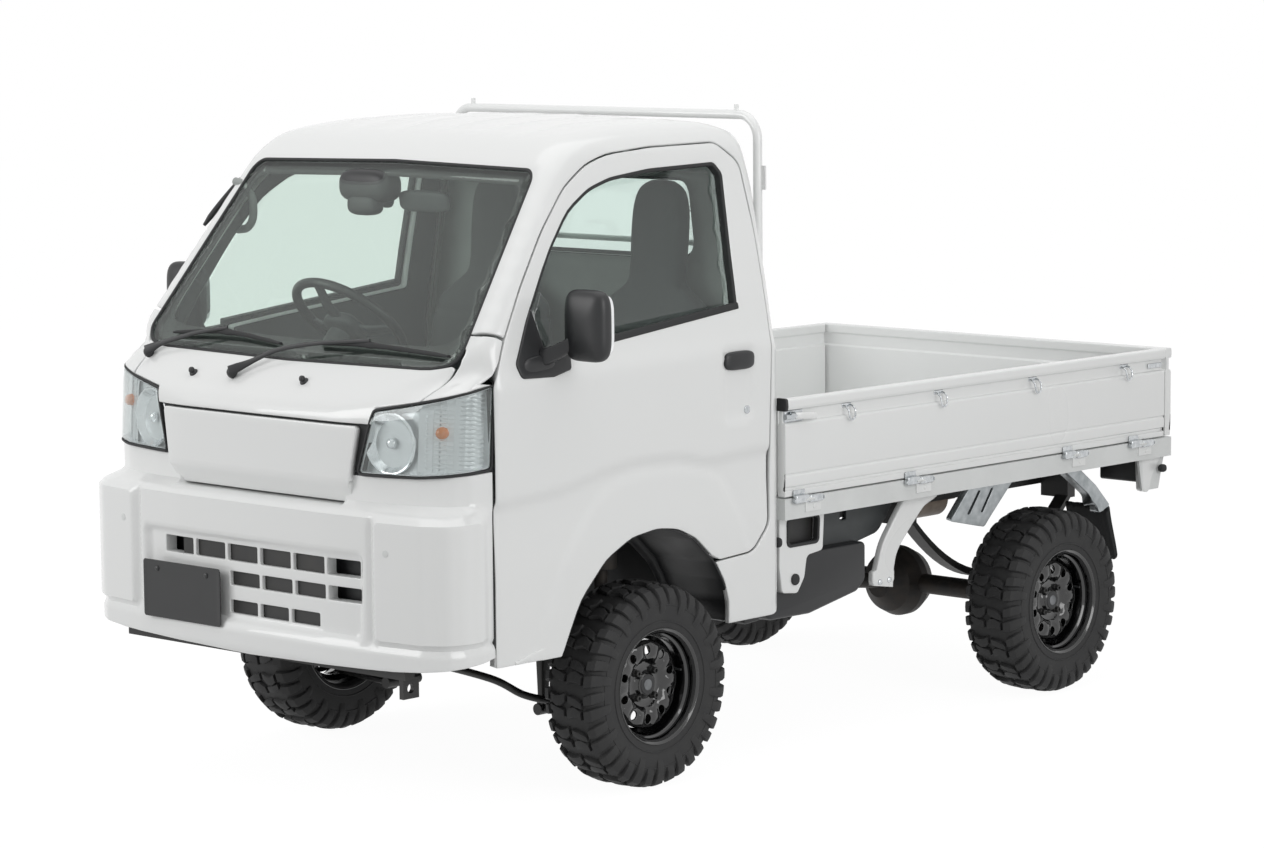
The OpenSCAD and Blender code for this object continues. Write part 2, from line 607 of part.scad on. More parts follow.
// moving half: two barrels and the leaf that reaches the gate above
module hinge_moving() {
    for (e = [-1, 1]) translate([0, e * (leaf_w + 5), 0]) difference() {
        union() {
            rotate([90, 0, 0]) cylinder(h = 40, r = hinge_r, center = true, $fn = 32);
            block([-3, -20, 0], [3, 20, 26]);
            block([-12 - eps, -20, 14], [0, 20, 26]);
        }
        hinge_pin(60 + 2 * run_gap);
        rotate([90, 0, 0]) cylinder(h = 60, r = pin_r + run_gap, center = true, $fn = 32);
    }
}
module bed_floor() {
    color(white) {
        block([-gate_x0 + 5, bed_y0 + board_t + seat_gap, bed_h - 22], [gate_x0 - 5, bed_end, bed_h]);
        // ledge that the headboard stands on
        block([-gate_x0 + 5, bed_y0, bed_h - 22], [gate_x0 - 5, bed_y0 + board_t + 1, bed_h - ledge]);
        both_sides() block([half_w - sill_w, bed_y0, sill_low], [half_w, tail_y1, sill_top]);
        block([-half_w, tail_y1 - 40, sill_low], [half_w, tail_y1, sill_top]);
        for (y = [bed_y0 + 10, bed_y0 + 440, bed_y0 + 900, axle_r + 280, bed_end - 120])
            block([-half_w + sill_w - eps, y, rail_r[1] + seat_gap],
                [half_w - sill_w + eps, y + 50, bed_h - 22 + eps]);
        for (y = side_hinges) both_sides() translate([side_axis_x, bed_y0 + y, axis_z]) hinge_fixed();
        for (x = tail_hinges) translate([x, tail_axis_y, axis_z]) rotate([0, 0, 90]) hinge_fixed();
        // rear bracket under the sill on each side
        both_sides() along_x([[tail_y1 - 130, rail_r[0]], [tail_y1 - 40, rail_r[0]],
            [tail_y1 - 10, sill_low + eps],
            [tail_y1 - 150, sill_low + eps]], half_w - 30, half_w - 22);
    }
}
module side_gate(s) {
    color(white) on_side(s) {
        y0 = bed_y0;
        y1 = bed_end;
        block([gate_x0, y0, gate_low], [half_w, y1, gate_top - 20]);
        block([gate_x0 - 4, y0, gate_top - 30], [half_w + 3, y1, gate_top]);
        for (y = side_hinges) translate([side_axis_x, bed_y0 + y, axis_z]) hinge_moving();
    }
}
module tail_gate() {
    color(white) {
        block([-half_w, tail_y0, gate_low], [half_w, tail_y1, gate_top - 20]);
        block([-half_w - 3, tail_y0, gate_top - 30], [half_w + 3, tail_y1 + 3, gate_top]);
        for (x = tail_hinges) translate([x, tail_axis_y, axis_z]) rotate([0, 0, 90]) hinge_moving();
    }
}
module headboard() {
    half = gate_x0 - 10;
    color(white) {
        block([-half, bed_y0, bed_h - ledge + seat_gap], [half, bed_y0 + board_t, gate_top - 20]);
        both_sides() block([half - 40, bed_y0, gate_top - 21], [half, bed_y0 + board_t, gate_top]);
    }
}
guard_x = 625;
guard_z = roof_h - 16;
guard_bend = 70;
peg_x = 564;
peg_r = 7;
peg_h = 16;
module guard_frame() {
    y = bed_y0 + board_t / 2 + 2;
    r = guard_d / 2;
    color(white) {
        translate([0, y, guard_z]) rotate([0, 90, 0])
            cylinder(h = 2 * (guard_x - guard_bend), r = r, center = true, $fn = 32);
        both_sides() {
            translate([guard_x, y, gate_top - 20 + seat_gap])
                cylinder(h = guard_z - guard_bend - gate_top + 20 - seat_gap, r = r, $fn = 32);
            translate([guard_x - guard_bend, y, guard_z - guard_bend]) rotate([90, 0, 0])
                rotate_extrude(angle = 90, $fn = 64) translate([guard_bend, 0]) circle(r = r, $fn = 32);
            translate([peg_x - 20, y, guard_z]) cylinder(h = r + peg_h, r = peg_r, $fn = 32);
            block([guard_x - 6, y, 1665], [guard_x + r + 14, y + 6, 1735]);
        }
        for (z = [1300, 1500])
            translate([0, y, z]) rotate([0, 90, 0])
                cylinder(h = 2 * guard_x, r = 9, center = true, $fn = 32);
    }
}
module bed_brackets() {
    x = half_w - 42;
    color(white) both_sides() {
        // front bracket with its square window
        difference() {
            along_x([[bed_y0 + 22, sill_low - seat_gap], [bed_y0 + 262, sill_low - seat_gap],
                [bed_y0 + 240, 600], [bed_y0 + 190, 600], [bed_y0 + 22, 600]], x, x + 8);
            along_x([[bed_y0 + 60, 625], [bed_y0 + 190, 625], [bed_y0 + 190, 690], [bed_y0 + 60, 690]],
                x - 1, x + 9);
        }
        // slanting stay to its foot
        along_x([[bed_y0 + 700, sill_low - seat_gap], [bed_y0 + 760, sill_low - seat_gap],
            [bed_y0 + 600, 600], [bed_y0 + 568, 436], [bed_y0 + 490, 436], [bed_y0 + 490, 560]],
            x - 40, x - 8);
    }
}
module wheel_guards() {
    x0 = half_w - 190;
    color([0.75, 0.76, 0.77]) both_sides() {
        // sheet plates before and behind the rear wheel
        along_x([[axle_r - 340, 566], [axle_r - 230, sill_low - seat_gap],
            [axle_r - 222, sill_low - seat_gap], [axle_r - 332, 562]], x0, half_w - 50);
        along_x([[axle_r + 50, sill_low - seat_gap], [axle_r + 58, sill_low - seat_gap],
            [axle_r + 310, 560], [axle_r + 302, 555]], x0, half_w - 50);
    }
}
module mud_flaps() {
    x0 = half_w - 190;
    color(black) both_sides()
        along_x([[axle_r + 340, 335], [axle_r + 346, 335], [axle_r + 308, 555 - seat_gap],
            [axle_r + 302, 555 - seat_gap]], x0, half_w - 50);
}
module tail_lamps() {
    color([0.6, 0.05, 0.05]) both_sides()
        block([half_w - 330, tail_y1 - 70, sill_low - 92], [half_w - 70, tail_y1 - 12, sill_low - seat_gap]);
}

// ---- doors ---------------------------------------------------------------

module door(s) {
    color(white) on_side(s) difference() {
        intersection() {
            cab_shell();
            along_x(door_outline(0), half_w - 200, far);
        }
        along_x(window_pts(), 0, far);
    }
}
glass_sink = 22;
module door_glass(s) {
    color([0.2, 0.25, 0.24, 0.4]) on_side(s) intersection() {
        along_y(slab_pts(glass_sink, glass_t), -far, far);
        along_x(window_pts(), 0, far);
    }
}
mirror_at = [half_w + 92, front_y + 523, 1349];
mirror_size = [150, 60, 198];
module mirror_unit(s) {
    color(black) on_side(s) {
        translate(mirror_at) cube(mirror_size, center = true);
        along_y([[side_x(1290) + seat_gap, 1290], [side_x(1252) + seat_gap, 1252],
            [mirror_at[0], 1252], [mirror_at[0], 1290]], mirror_at[1] - 18, mirror_at[1] + 6);
    }
}

// ---- inside --------------------------------------------------------------

module dashboard() {
    y0 = front_y + 205;
    color([0.16, 0.16, 0.17]) {
        intersection() {
          cab_solid(lamp_depth + 6, door_t + inside_gap);
          along_x([[y0, 1060], [y0 + 190, 1000], [y0 + 235, 1110], [y0 + 200, 1225], [y0 + 60, 1240],
            [y0 + 20, 1225]], -half_w, half_w);
        }
        block([-200, y0 - 118.8, 1085], [200, y0 + 10, 1100]);
    }
}
wheel_at = [-330, front_y + 720, 1285];
wheel_tilt = 42;
wheel_ring = 180;
column_r = 12;
module steering_wheel() {
    color(black) translate(wheel_at) rotate([-wheel_tilt, 0, 0]) {
        rotate_extrude($fn = 64) translate([wheel_ring, 0]) circle(r = 14, $fn = 32);
        difference() {
            translate([0, 0, -50]) cylinder(h = 56, r = 50, $fn = 48);
            translate([0, 0, -51]) cylinder(h = 32, r = column_r + run_gap, $fn = 32);
        }
        for (a = [0, 180, 270]) rotate([0, 0, a]) block([40, -13, -18], [wheel_ring - 6, 13, -2]);
    }
}
module steering_column() {
    // the shaft runs down to the toe board
    column_l = (wheel_at[1] - toe_y - pan_t - column_r * cos(wheel_tilt) - seat_gap) / sin(wheel_tilt);
    color(black) translate(wheel_at) rotate([-wheel_tilt, 0, 0]) {
        translate([0, 0, -column_l]) cylinder(h = column_l - 22, r = column_r, $fn = 32);
        translate([0, 0, -400]) cylinder(h = 345, r = 38, $fn = 32);
    }
}
seat_x = 335;
seat_half = 245;
module seat(s) {
    y1 = cab_back - 60;
    base = deck_h + pan_t + seat_gap;
    color([0.3, 0.3, 0.31]) on_side(s) {
        block([seat_x - seat_half, y1 - 560, base], [seat_x + seat_half, y1 - 90, base + 190]);
        along_x([[y1 - 200, base + 180], [y1 - 90, base + 60], [y1 - 60, base + 60], [y1 + 20, 1360],
            [y1 - 90, 1360]], seat_x - seat_half, seat_x + seat_half);
        along_x([[y1 - 90, 1359], [y1 + 20, 1359], [y1 + 18, 1690], [y1 - 62, 1690]],
            seat_x - 105, seat_x + 105);
    }
}
// wiper pivots across the cowl, and the slope of the glass they lie on
wiper_x = [-569, -166];
screen_slope = atan2(screen_top[1] - screen_base[1], screen_top[0] - screen_base[0]);
module wipers() {
    color(black) for (x = wiper_x)
        translate([x, front_y + screen_base[0], screen_base[1]]) rotate([screen_slope, 0, 0]) {
            translate([0, -30, 10.6]) cylinder(h = 20, r = 14, $fn = 24);
            translate([0, -30, 18]) rotate([0, 0, 8]) block([0, -7, 0], [300, 7, 10]);
            translate([0, -30, 9]) rotate([0, 0, 8]) block([50, -5, 0], [500, 5, 15]);
        }
}

frame();
cab_floor();
cab_rear_wall();
cab_side(1);  // cab_side_left
cab_side(-1);  // cab_side_right
roof();
front_panel();
front_garnish();
bumper();
front_plate();
radiator();
headlamp(1);  // headlamp_left
headlamp(-1);  // headlamp_right
windscreen();
rear_window();
wipers();
dashboard();
steering_column();
seat(1);  // seat_left
seat(-1);  // seat_right
bed_floor();
headboard();
guard_frame();
bed_brackets();
wheel_guards();
mud_flaps();
tail_lamps();
engine();
fuel_tank();
exhaust();
front_suspension();
rear_axle();
leaf_springs();
steering_wheel();
door(1);  // door_left
door(-1);  // door_right
door_glass(1);  // door_glass_left
door_glass(-1);  // door_glass_right
mirror_unit(1);  // mirror_left
mirror_unit(-1);  // mirror_right
side_gate(1);  // side_gate_left
side_gate(-1);  // side_gate_right
tail_gate();
knuckle(1);  // knuckle_left
knuckle(-1);  // knuckle_right
tyre(1, axle_f);  // tyre_front_left
tyre(-1, axle_f);  // tyre_front_right
tyre(1, axle_r);  // tyre_rear_left
tyre(-1, axle_r);  // tyre_rear_right
rim(1, axle_f);  // rim_front_left
rim(-1, axle_f);  // rim_front_right
rim(1, axle_r);  // rim_rear_left
rim(-1, axle_r);  // rim_rear_right
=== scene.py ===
# %% [markdown]
# A kei truck: a small cab-over truck with a drop-side bed, on chunky tyres.
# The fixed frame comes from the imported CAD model. Everything here is in the same frame, so a
# piece goes where its CAD node is. Shapes are worked out in millimetres and put into metres last.

# %% Load the frame
import json
import math

import bmesh
import bpy
import numpy as np
from mathutils import Matrix, Vector
from mathutils.geometry import delaunay_2d_cdt

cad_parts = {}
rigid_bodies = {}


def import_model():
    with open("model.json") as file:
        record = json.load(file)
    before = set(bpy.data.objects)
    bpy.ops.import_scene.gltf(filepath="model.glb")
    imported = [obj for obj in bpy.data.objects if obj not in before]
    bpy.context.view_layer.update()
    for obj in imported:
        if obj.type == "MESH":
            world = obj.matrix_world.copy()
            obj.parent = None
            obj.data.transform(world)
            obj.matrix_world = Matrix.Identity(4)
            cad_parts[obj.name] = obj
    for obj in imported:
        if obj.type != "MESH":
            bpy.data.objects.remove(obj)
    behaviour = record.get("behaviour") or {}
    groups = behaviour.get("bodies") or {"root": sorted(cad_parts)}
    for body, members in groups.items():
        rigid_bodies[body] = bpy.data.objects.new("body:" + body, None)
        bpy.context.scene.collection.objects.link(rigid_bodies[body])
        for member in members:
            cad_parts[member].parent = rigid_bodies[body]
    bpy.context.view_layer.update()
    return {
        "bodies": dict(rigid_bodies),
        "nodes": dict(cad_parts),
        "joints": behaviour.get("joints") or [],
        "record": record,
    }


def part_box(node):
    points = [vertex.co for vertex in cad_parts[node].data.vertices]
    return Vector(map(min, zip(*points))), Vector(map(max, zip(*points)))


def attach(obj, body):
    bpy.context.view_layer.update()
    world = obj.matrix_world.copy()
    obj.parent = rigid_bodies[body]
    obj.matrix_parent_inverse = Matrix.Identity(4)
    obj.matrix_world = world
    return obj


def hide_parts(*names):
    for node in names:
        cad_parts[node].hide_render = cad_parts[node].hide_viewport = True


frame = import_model()
MM = 0.001


def corners(node):
    """The lowest and highest corner of a CAD node, in millimetres."""
    low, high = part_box(node)
    return np.array(low) / MM, np.array(high) / MM


plate_low, plate_high = corners("front_plate")
door_low, door_high = corners("door_left")
wall_low, wall_high = corners("cab_rear_wall")
FRONT = plate_low[1]
HALF_W = door_high[0]
CAB_BACK = wall_high[1]
print("front face", FRONT, "half width", HALF_W, "cab back", CAB_BACK)

# %% [markdown]
# The camera comes first. It stands in front of the truck's left corner, a little above the
# bonnet line, with a long lens, so that the lines of the bed run together only slightly.

# %% Camera
EYE = (7.9624, -8.6428, 2.3112)
YAW, PITCH, ROLL = (math.radians(v) for v in (43.046, 6.795, -0.508))
ahead = Vector((-math.sin(YAW) * math.cos(PITCH), math.cos(YAW) * math.cos(PITCH), -math.sin(PITCH)))
level = Vector((math.cos(YAW), math.sin(YAW), 0))
upward = level.cross(ahead)
right = level * math.cos(ROLL) + upward * math.sin(ROLL)
top = upward * math.cos(ROLL) - level * math.sin(ROLL)
lens = bpy.data.cameras.new("camera")
lens.lens = 109.36
camera = bpy.data.objects.new("camera", lens)
camera.matrix_world = Matrix((right, top, -ahead)).transposed().to_4x4()
camera.location = EYE
bpy.context.scene.collection.objects.link(camera)
bpy.context.scene.camera = camera
print("camera at", EYE)

# %% [markdown]
# Meshes are made from whole arrays. One function puts points and faces into a mesh, shades it
# smooth apart from sharp corners, gives it a material, and lets it ride on its body.

# %% Mesh helpers


def fill_mesh(name, points, faces):
    """A mesh from points in millimetres and a list of index arrays with three or four columns."""
    mesh = bpy.data.meshes.new(name)
    points = np.asarray(points, float) * MM
    faces = [np.asarray(f, int) for f in (faces if isinstance(faces, list) else [faces]) if len(f)]
    counts = np.concatenate([np.full(len(f), f.shape[1]) for f in faces])
    flat = np.concatenate([f.ravel() for f in faces])
    mesh.vertices.add(len(points))
    mesh.vertices.foreach_set("co", points.astype(np.float32).ravel())
    mesh.loops.add(len(flat))
    mesh.loops.foreach_set("vertex_index", flat.astype(np.int32))
    mesh.polygons.add(len(counts))
    mesh.polygons.foreach_set("loop_start", (np.cumsum(counts) - counts).astype(np.int32))
    mesh.update(calc_edges=True)
    mesh.validate()
    return mesh


def add_piece(name, points, faces, material, body="chassis", stands_for=(), crease=35, closed=True):
    """Makes the object. A closed form has its doubles merged and its faces turned outwards."""
    mesh = fill_mesh(name, points, faces)
    if closed:
        form = bmesh.new()
        form.from_mesh(mesh)
        bmesh.ops.remove_doubles(form, verts=form.verts, dist=1e-5)
        bmesh.ops.recalc_face_normals(form, faces=form.faces)
        form.to_mesh(mesh)
        form.free()
    mesh.shade_smooth()
    mesh.set_sharp_from_angle(angle=math.radians(crease))
    mesh.materials.append(material)
    obj = bpy.data.objects.new(name, mesh)
    bpy.context.scene.collection.objects.link(obj)
    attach(obj, body)
    if stands_for:
        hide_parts(*([stands_for] if isinstance(stands_for, str) else stands_for))
    return obj


def joined(parts):
    """Several (points, faces) forms as one: the indices of each move past those before it."""
    points, faces, start = [], [], 0
    for p, f in parts:
        points.append(np.asarray(p, float))
        faces += [np.asarray(g, int) + start for g in (f if isinstance(f, list) else [f]) if len(g)]
        start += len(p)
    return np.concatenate(points), faces


def grid_faces(rows, columns, wrap_rows=False, wrap_columns=False):
    """Four-cornered faces of a grid of points, stored row by row."""
    i = np.arange(rows if wrap_rows else rows - 1)[:, None]
    j = np.arange(columns if wrap_columns else columns - 1)[None, :]
    i2, j2 = (i + 1) % rows, (j + 1) % columns
    cell = [i * columns + j, i * columns + j2, i2 * columns + j2, i2 * columns + j]
    return np.stack(np.broadcast_arrays(*cell), -1).reshape(-1, 4)


def unit(v):
    """Vectors of length one."""
    v = np.asarray(v, float)
    return v / np.maximum(np.linalg.norm(v, axis=-1, keepdims=True), 1e-12)


def lathe(profile, centre, axis=(1, 0, 0), turns=96):
    """A profile of [radius, along] turned about an axis: centre + along * axis + radius * spoke(angle)."""
    profile = np.asarray(profile, float)
    axis = unit(axis)
    side = unit(np.cross(axis, (0, 0, 1) if abs(axis[2]) < 0.9 else (0, 1, 0)))
    other = np.cross(axis, side)
    angle = np.linspace(0, 2 * np.pi, turns, endpoint=False)[:, None, None]
    spoke = np.cos(angle) * side + np.sin(angle) * other
    points = np.asarray(centre, float) + profile[None, :, 1:] * axis + profile[None, :, :1] * spoke
    return points.reshape(-1, 3), grid_faces(turns, len(profile), wrap_rows=True)


def tube(path, radius, sides=14, up=(0, 0, 1), caps=True, closed=False):
    """A round bar along a path: each point is the path plus radius times a spoke square to it."""
    path = np.asarray(path, float)
    step = np.roll(path, -1, 0) - np.roll(path, 1, 0) if closed else np.gradient(path, axis=0)
    ahead_ = unit(step)
    side = unit(np.cross(ahead_, up))
    other = np.cross(side, ahead_)
    angle = np.linspace(0, 2 * np.pi, sides, endpoint=False)[None, :, None]
    radius = np.broadcast_to(np.asarray(radius, float), (len(path),))[:, None, None]
    points = path[:, None] + radius * (np.cos(angle) * side[:, None] + np.sin(angle) * other[:, None])
    faces = [grid_faces(len(path), sides, wrap_rows=closed, wrap_columns=True)]
    points = points.reshape(-1, 3)
    if caps and not closed:
        n = len(points)
        points = np.concatenate([points, path[[0, -1]]])
        k = np.arange(sides)
        k2 = (k + 1) % sides
        faces += [np.stack([k2, k, np.full(sides, n)], -1),
                  np.stack([k, k2, np.full(sides, n + 1 - len(path) * sides + sides)], -1) + (len(path) - 1) * sides]
    return points, faces


def soft_box(low, high, radius, steps=5):
    """A box with round edges: a ball's points, pulled apart at its equators by the box's half size."""
    low, high = np.minimum(low, high).astype(float), np.maximum(low, high).astype(float)
    radius = np.minimum(radius, (high - low).min() / 2 - 1e-3)
    quarter = np.linspace(0, np.pi / 2, steps)
    turn = np.concatenate([quarter + k * np.pi / 2 for k in range(4)])
    signs = np.repeat([[1, 1], [-1, 1], [-1, -1], [1, -1]], steps, axis=0)
    rise = np.concatenate([quarter - np.pi / 2, quarter])
    rise_sign = np.repeat([-1, 1], steps)
    ball = np.stack([np.cos(rise)[:, None] * np.cos(turn), np.cos(rise)[:, None] * np.sin(turn),
                     np.repeat(np.sin(rise)[:, None], len(turn), 1)], -1)
    apart = np.stack([np.repeat(signs[None, :, 0], len(rise), 0), np.repeat(signs[None, :, 1], len(rise), 0),
                      np.repeat(rise_sign[:, None], len(turn), 1)], -1)
    points = (low + high) / 2 + apart * ((high - low) / 2 - radius) + ball * radius
    n = len(turn)
    faces = [grid_faces(len(rise), n, wrap_columns=True)]
    caps = np.arange(steps - 1, n, steps)
    faces.append(np.array([caps[::-1], (len(rise) - 1) * n + caps]))
    return points.reshape(-1, 3), faces


def rounded(rows, closed=True):
    """An outline of [a, b, radius] rows whose corners are arcs of that radius, as far as the sides allow."""
    rows = np.asarray([list(r) + [0] * (3 - len(r)) for r in rows], float)
    out = []
    n = len(rows)
    for i in range(n):
        p, r = rows[i, :2], rows[i, 2]
        if r <= 0 or (not closed and i in (0, n - 1)):
            out.append(p[None])
            continue
        before, after = rows[i - 1, :2] - p, rows[(i + 1) % n, :2] - p
        la, lb = np.linalg.norm(before), np.linalg.norm(after)
        ua, ub = before / la, after / lb
        half = np.arccos(np.clip(ua @ ub, -1, 1)) / 2
        if half > np.pi / 2 - 0.01:
            out.append(p[None])
            continue
        back = min(r / np.tan(half), 0.48 * la, 0.48 * lb)
        r = back * np.tan(half)
        middle = p + unit(ua + ub) * r / np.sin(half)
        a0 = np.arctan2(*(p + ua * back - middle)[::-1])
        a1 = np.arctan2(*(p + ub * back - middle)[::-1])
        turn = (a1 - a0 + np.pi) % (2 * np.pi) - np.pi
        count = max(3, int(abs(turn) / 0.13) + 1)
        arc = a0 + turn * np.linspace(0, 1, count)
        out.append(middle + r * np.stack([np.cos(arc), np.sin(arc)], -1))
    return np.concatenate(out)


def dense(outline, step):
    """The same closed outline with extra points, so that no side is longer than step."""
    outline = np.asarray(outline, float)
    after = np.roll(outline, -1, 0)
    counts = np.maximum(1, np.ceil(np.linalg.norm(after - outline, axis=1) / step).astype(int))
    return np.concatenate([p + (q - p) * (np.arange(c) / c)[:, None] for p, q, c in zip(outline, after, counts)])


def grown(outline, by):
    """The outline moved outwards by a distance, each corner along the mean of its two sides' normals."""
    p = np.asarray(outline, float)
    area = np.sum(p[:, 0] * np.roll(p[:, 1], -1) - np.roll(p[:, 0], -1) * p[:, 1])
    d = unit(np.roll(p, -1, 0) - p) * np.sign(area)
    n = np.stack([d[:, 1], -d[:, 0]], -1)
    m = n + np.roll(n, 1, 0)
    m = m / np.maximum(np.sum(m * m, -1, keepdims=True) / 2, 0.4)
    return p + m * by


def inside(points, outline):
    """Which points lie in a closed outline, by counting how many sides a line to the left crosses."""
    x, y = points[:, :1], points[:, 1:]
    a, b = outline, np.roll(outline, -1, 0)
    crosses = (a[:, 1] > y) != (b[:, 1] > y)
    with np.errstate(divide="ignore", invalid="ignore"):
        at = a[:, 0] + (y - a[:, 1]) * (b[:, 0] - a[:, 0]) / (b[:, 1] - a[:, 1])
    return (crosses & (x < at)).sum(1) % 2 == 1


def gap_to(points, a, b):
    """Each point's distance to the nearest of the segments a-b."""
    out = np.full(len(points), 1e9)
    d = b - a
    length = np.maximum(np.sum(d * d, -1), 1e-12)
    for i in range(0, len(points), 20000):
        p = points[i:i + 20000, None]
        t = np.clip(np.sum((p - a) * d, -1) / length, 0, 1)[..., None]
        out[i:i + 20000] = np.sqrt(np.min(np.sum((p - a - t * d) ** 2, -1), 1))
    return out


print("mesh helpers ready")

# %% [markdown]
# A pressed sheet panel has an outline, maybe windows, a slightly curved face, an edge that is
# rolled over and a flange behind it. All panels are cut from flat outlines with a constrained
# triangle mesh, then each point is put on the curved surface, so neighbours line up at the seams.

# %% Panels from outlines
ROLL_STEPS = (0.12, 0.35, 0.65, 1.0)


def cut_sheet(outlines, holes, step, roll):
    """Triangles of a flat region: inside any outline and outside every hole."""
    lines = [dense(o, step * 0.6) for o in [*outlines, *holes]]
    span = np.concatenate(lines)
    low, high = span.min(0), span.max(0)
    cols = np.arange(low[0], high[0], step)
    rows = np.arange(low[1], high[1], step * 0.866)
    a, b = np.meshgrid(cols, rows)
    a = a + (np.arange(len(rows)) % 2)[:, None] * step / 2
    inner = np.stack([a.ravel(), b.ravel()], -1)
    starts = np.concatenate(lines)
    ends = np.concatenate([np.roll(l, -1, 0) for l in lines])
    inner = inner[gap_to(inner, starts, ends) > max(step * 0.5, roll * 1.4)]
    rings = [grown(l, s * roll * k) for l in lines for k in ROLL_STEPS for s in (-1, 1)] if roll else []
    points = np.concatenate([*lines, *rings, inner])
    edges, at = [], 0
    for l in lines:
        k = np.arange(len(l))
        edges.append(np.stack([k, (k + 1) % len(l)], -1) + at)
        at += len(l)
    edges = np.concatenate(edges)
    made = delaunay_2d_cdt([Vector(p) for p in points.tolist()], edges.tolist(), [], 0, 1e-4)
    flat = np.array([tuple(v) for v in made[0]])
    tris = np.array([f for f in made[2] if len(f) == 3])
    middle = flat[tris].mean(1)
    keep = np.zeros(len(tris), bool)
    for o in outlines:
        keep |= inside(middle, np.asarray(o, float))
    for h in holes:
        keep &= ~inside(middle, np.asarray(h, float))
    tris = tris[keep]
    used, tris = np.unique(tris, return_inverse=True)
    return flat[used], tris.reshape(-1, 3)


def open_edges(tris):
    """Directed edges that only one triangle has."""
    e = np.concatenate([tris[:, [0, 1]], tris[:, [1, 2]], tris[:, [2, 0]]])
    key = np.sort(e, 1)
    _, first, count = np.unique(key, axis=0, return_index=True, return_counts=True)
    return e[first[count == 1]]


def on_surface(place, flat, middle):
    """Points of a surface and its outward normals, from small steps in its two parameters."""
    h = 1.5
    p = place(flat)
    u = place(flat + (h, 0)) - place(flat - (h, 0))
    v = place(flat + (0, h)) - place(flat - (0, h))
    n = unit(np.cross(u, v))
    return p, n * np.sign(np.sum(n * (p - middle), -1, keepdims=True))


CAB_MIDDLE = np.array([0.0, FRONT + 760, 1000.0])


def panel(outlines, holes, place, step=22, roll=3.0, flange=12.0, sink=0.0, middle=CAB_MIDDLE):
    """A curved sheet: the flat region put on a surface, its edge rolled in by an arc, and a flange
    that runs in from the edge. sink moves the whole sheet in along its normals."""
    flat, tris = cut_sheet(outlines, holes, step, roll)
    edges = open_edges(tris)
    p, n = on_surface(place, flat, middle)
    reach = np.clip(gap_to(flat, flat[edges[:, 0]], flat[edges[:, 1]]), 0, None)
    short = np.clip(roll - reach, 0, None)
    drop = roll - np.sqrt(np.clip(roll * roll - short * short, 0, None)) if roll else np.zeros(len(flat))
    p = p - n * (drop + sink)[:, None]
    face = np.cross(p[tris[:, 1]] - p[tris[:, 0]], p[tris[:, 2]] - p[tris[:, 0]])
    if np.sum(face * n[tris[:, 0]]) < 0:
        tris = tris[:, ::-1]
        edges = edges[:, ::-1]
    if not flange:
        return p, [tris]
    rim, where = np.unique(edges, return_inverse=True)
    where = where.reshape(-1, 2) + len(p)
    p = np.concatenate([p, p[rim] - n[rim] * flange])
    walls = np.stack([edges[:, 1], edges[:, 0], where[:, 0], where[:, 1]], -1)
    return p, [tris, walls]


print("panel maker ready")

# %% [markdown]
# A finish is made of shader nodes. One small function adds a node with its settings and its
# links. Colours are written as sRGB hex values and turned to linear light in one place. Patterns
# read Object coordinates, which are metres here, so a scale is one over the real size.

# %% Finish helpers


def colour(hex_value, alpha=1.0):
    """sRGB hex to linear light: below 0.04 a straight line, above it a power of 2.4."""
    c = np.array([int(hex_value[i:i + 2], 16) for i in (1, 3, 5)]) / 255
    c = np.where(c <= 0.04045, c / 12.92, ((c + 0.055) / 1.055) ** 2.4)
    return (*c.tolist(), alpha)


def add(tree, kind, inputs=None, **settings):
    """Adds a node. An input is a value, or another node's output."""
    node = tree.nodes.new(kind)
    for key, value in settings.items():
        setattr(node, key, value)
    for key, value in (inputs or {}).items():
        if isinstance(value, bpy.types.NodeSocket):
            tree.links.new(value, node.inputs[key])
        else:
            node.inputs[key].default_value = value
    return node


def finish(name, base, rough, metal=0.0, spots=None, bump=None, **sockets):
    """A finish with a slow change of colour and roughness over the surface, and a fine bump.
    spots is (hex, size in mm, share), bump is (size in mm, height in mm, strength)."""
    made = bpy.data.materials.new(name)
    made.use_nodes = True
    tree = made.node_tree
    shader = tree.nodes["Principled BSDF"]
    shader.inputs["Base Color"].default_value = colour(base)
    shader.inputs["Roughness"].default_value = rough
    shader.inputs["Metallic"].default_value = metal
    for key, value in sockets.items():
        shader.inputs[key.replace("_", " ")].default_value = value
    place = add(tree, "ShaderNodeTexCoord").outputs["Object"]
    if spots:
        other, size, share = spots
        broad = size > 300
        cloud = add(tree, "ShaderNodeTexNoise", {"Vector": place, "Scale": 1000 / size,
                                                 "Detail": 1.0 if broad else 5.0})
        mask = add(tree, "ShaderNodeMapRange", {"Value": cloud.outputs["Fac"], "From Min": 0.1 if broad else 0.35,
                                                "From Max": 0.9 if broad else 0.7, "To Min": 0.0, "To Max": share})
        mix = add(tree, "ShaderNodeMix", {"Factor": mask.outputs["Result"], 6: colour(base),
                                          7: colour(other)}, data_type="RGBA")
        tree.links.new(mix.outputs[2], shader.inputs["Base Color"])
        wear = add(tree, "ShaderNodeMapRange", {"Value": cloud.outputs["Fac"], "From Min": 0.1,
                                                "From Max": 0.9, "To Min": max(rough - 0.05, 0.02),
                                                "To Max": min(rough + 0.06, 1.0)})
        tree.links.new(wear.outputs["Result"], shader.inputs["Roughness"])
    if bump:
        size, height, strength = bump
        grain = add(tree, "ShaderNodeTexNoise", {"Vector": place, "Scale": 1000 / size, "Detail": 2.0})
        relief = add(tree, "ShaderNodeBump", {"Height": grain.outputs["Fac"], "Distance": height * MM,
                                              "Strength": strength})
        tree.links.new(relief.outputs["Normal"], shader.inputs["Normal"])
    return made


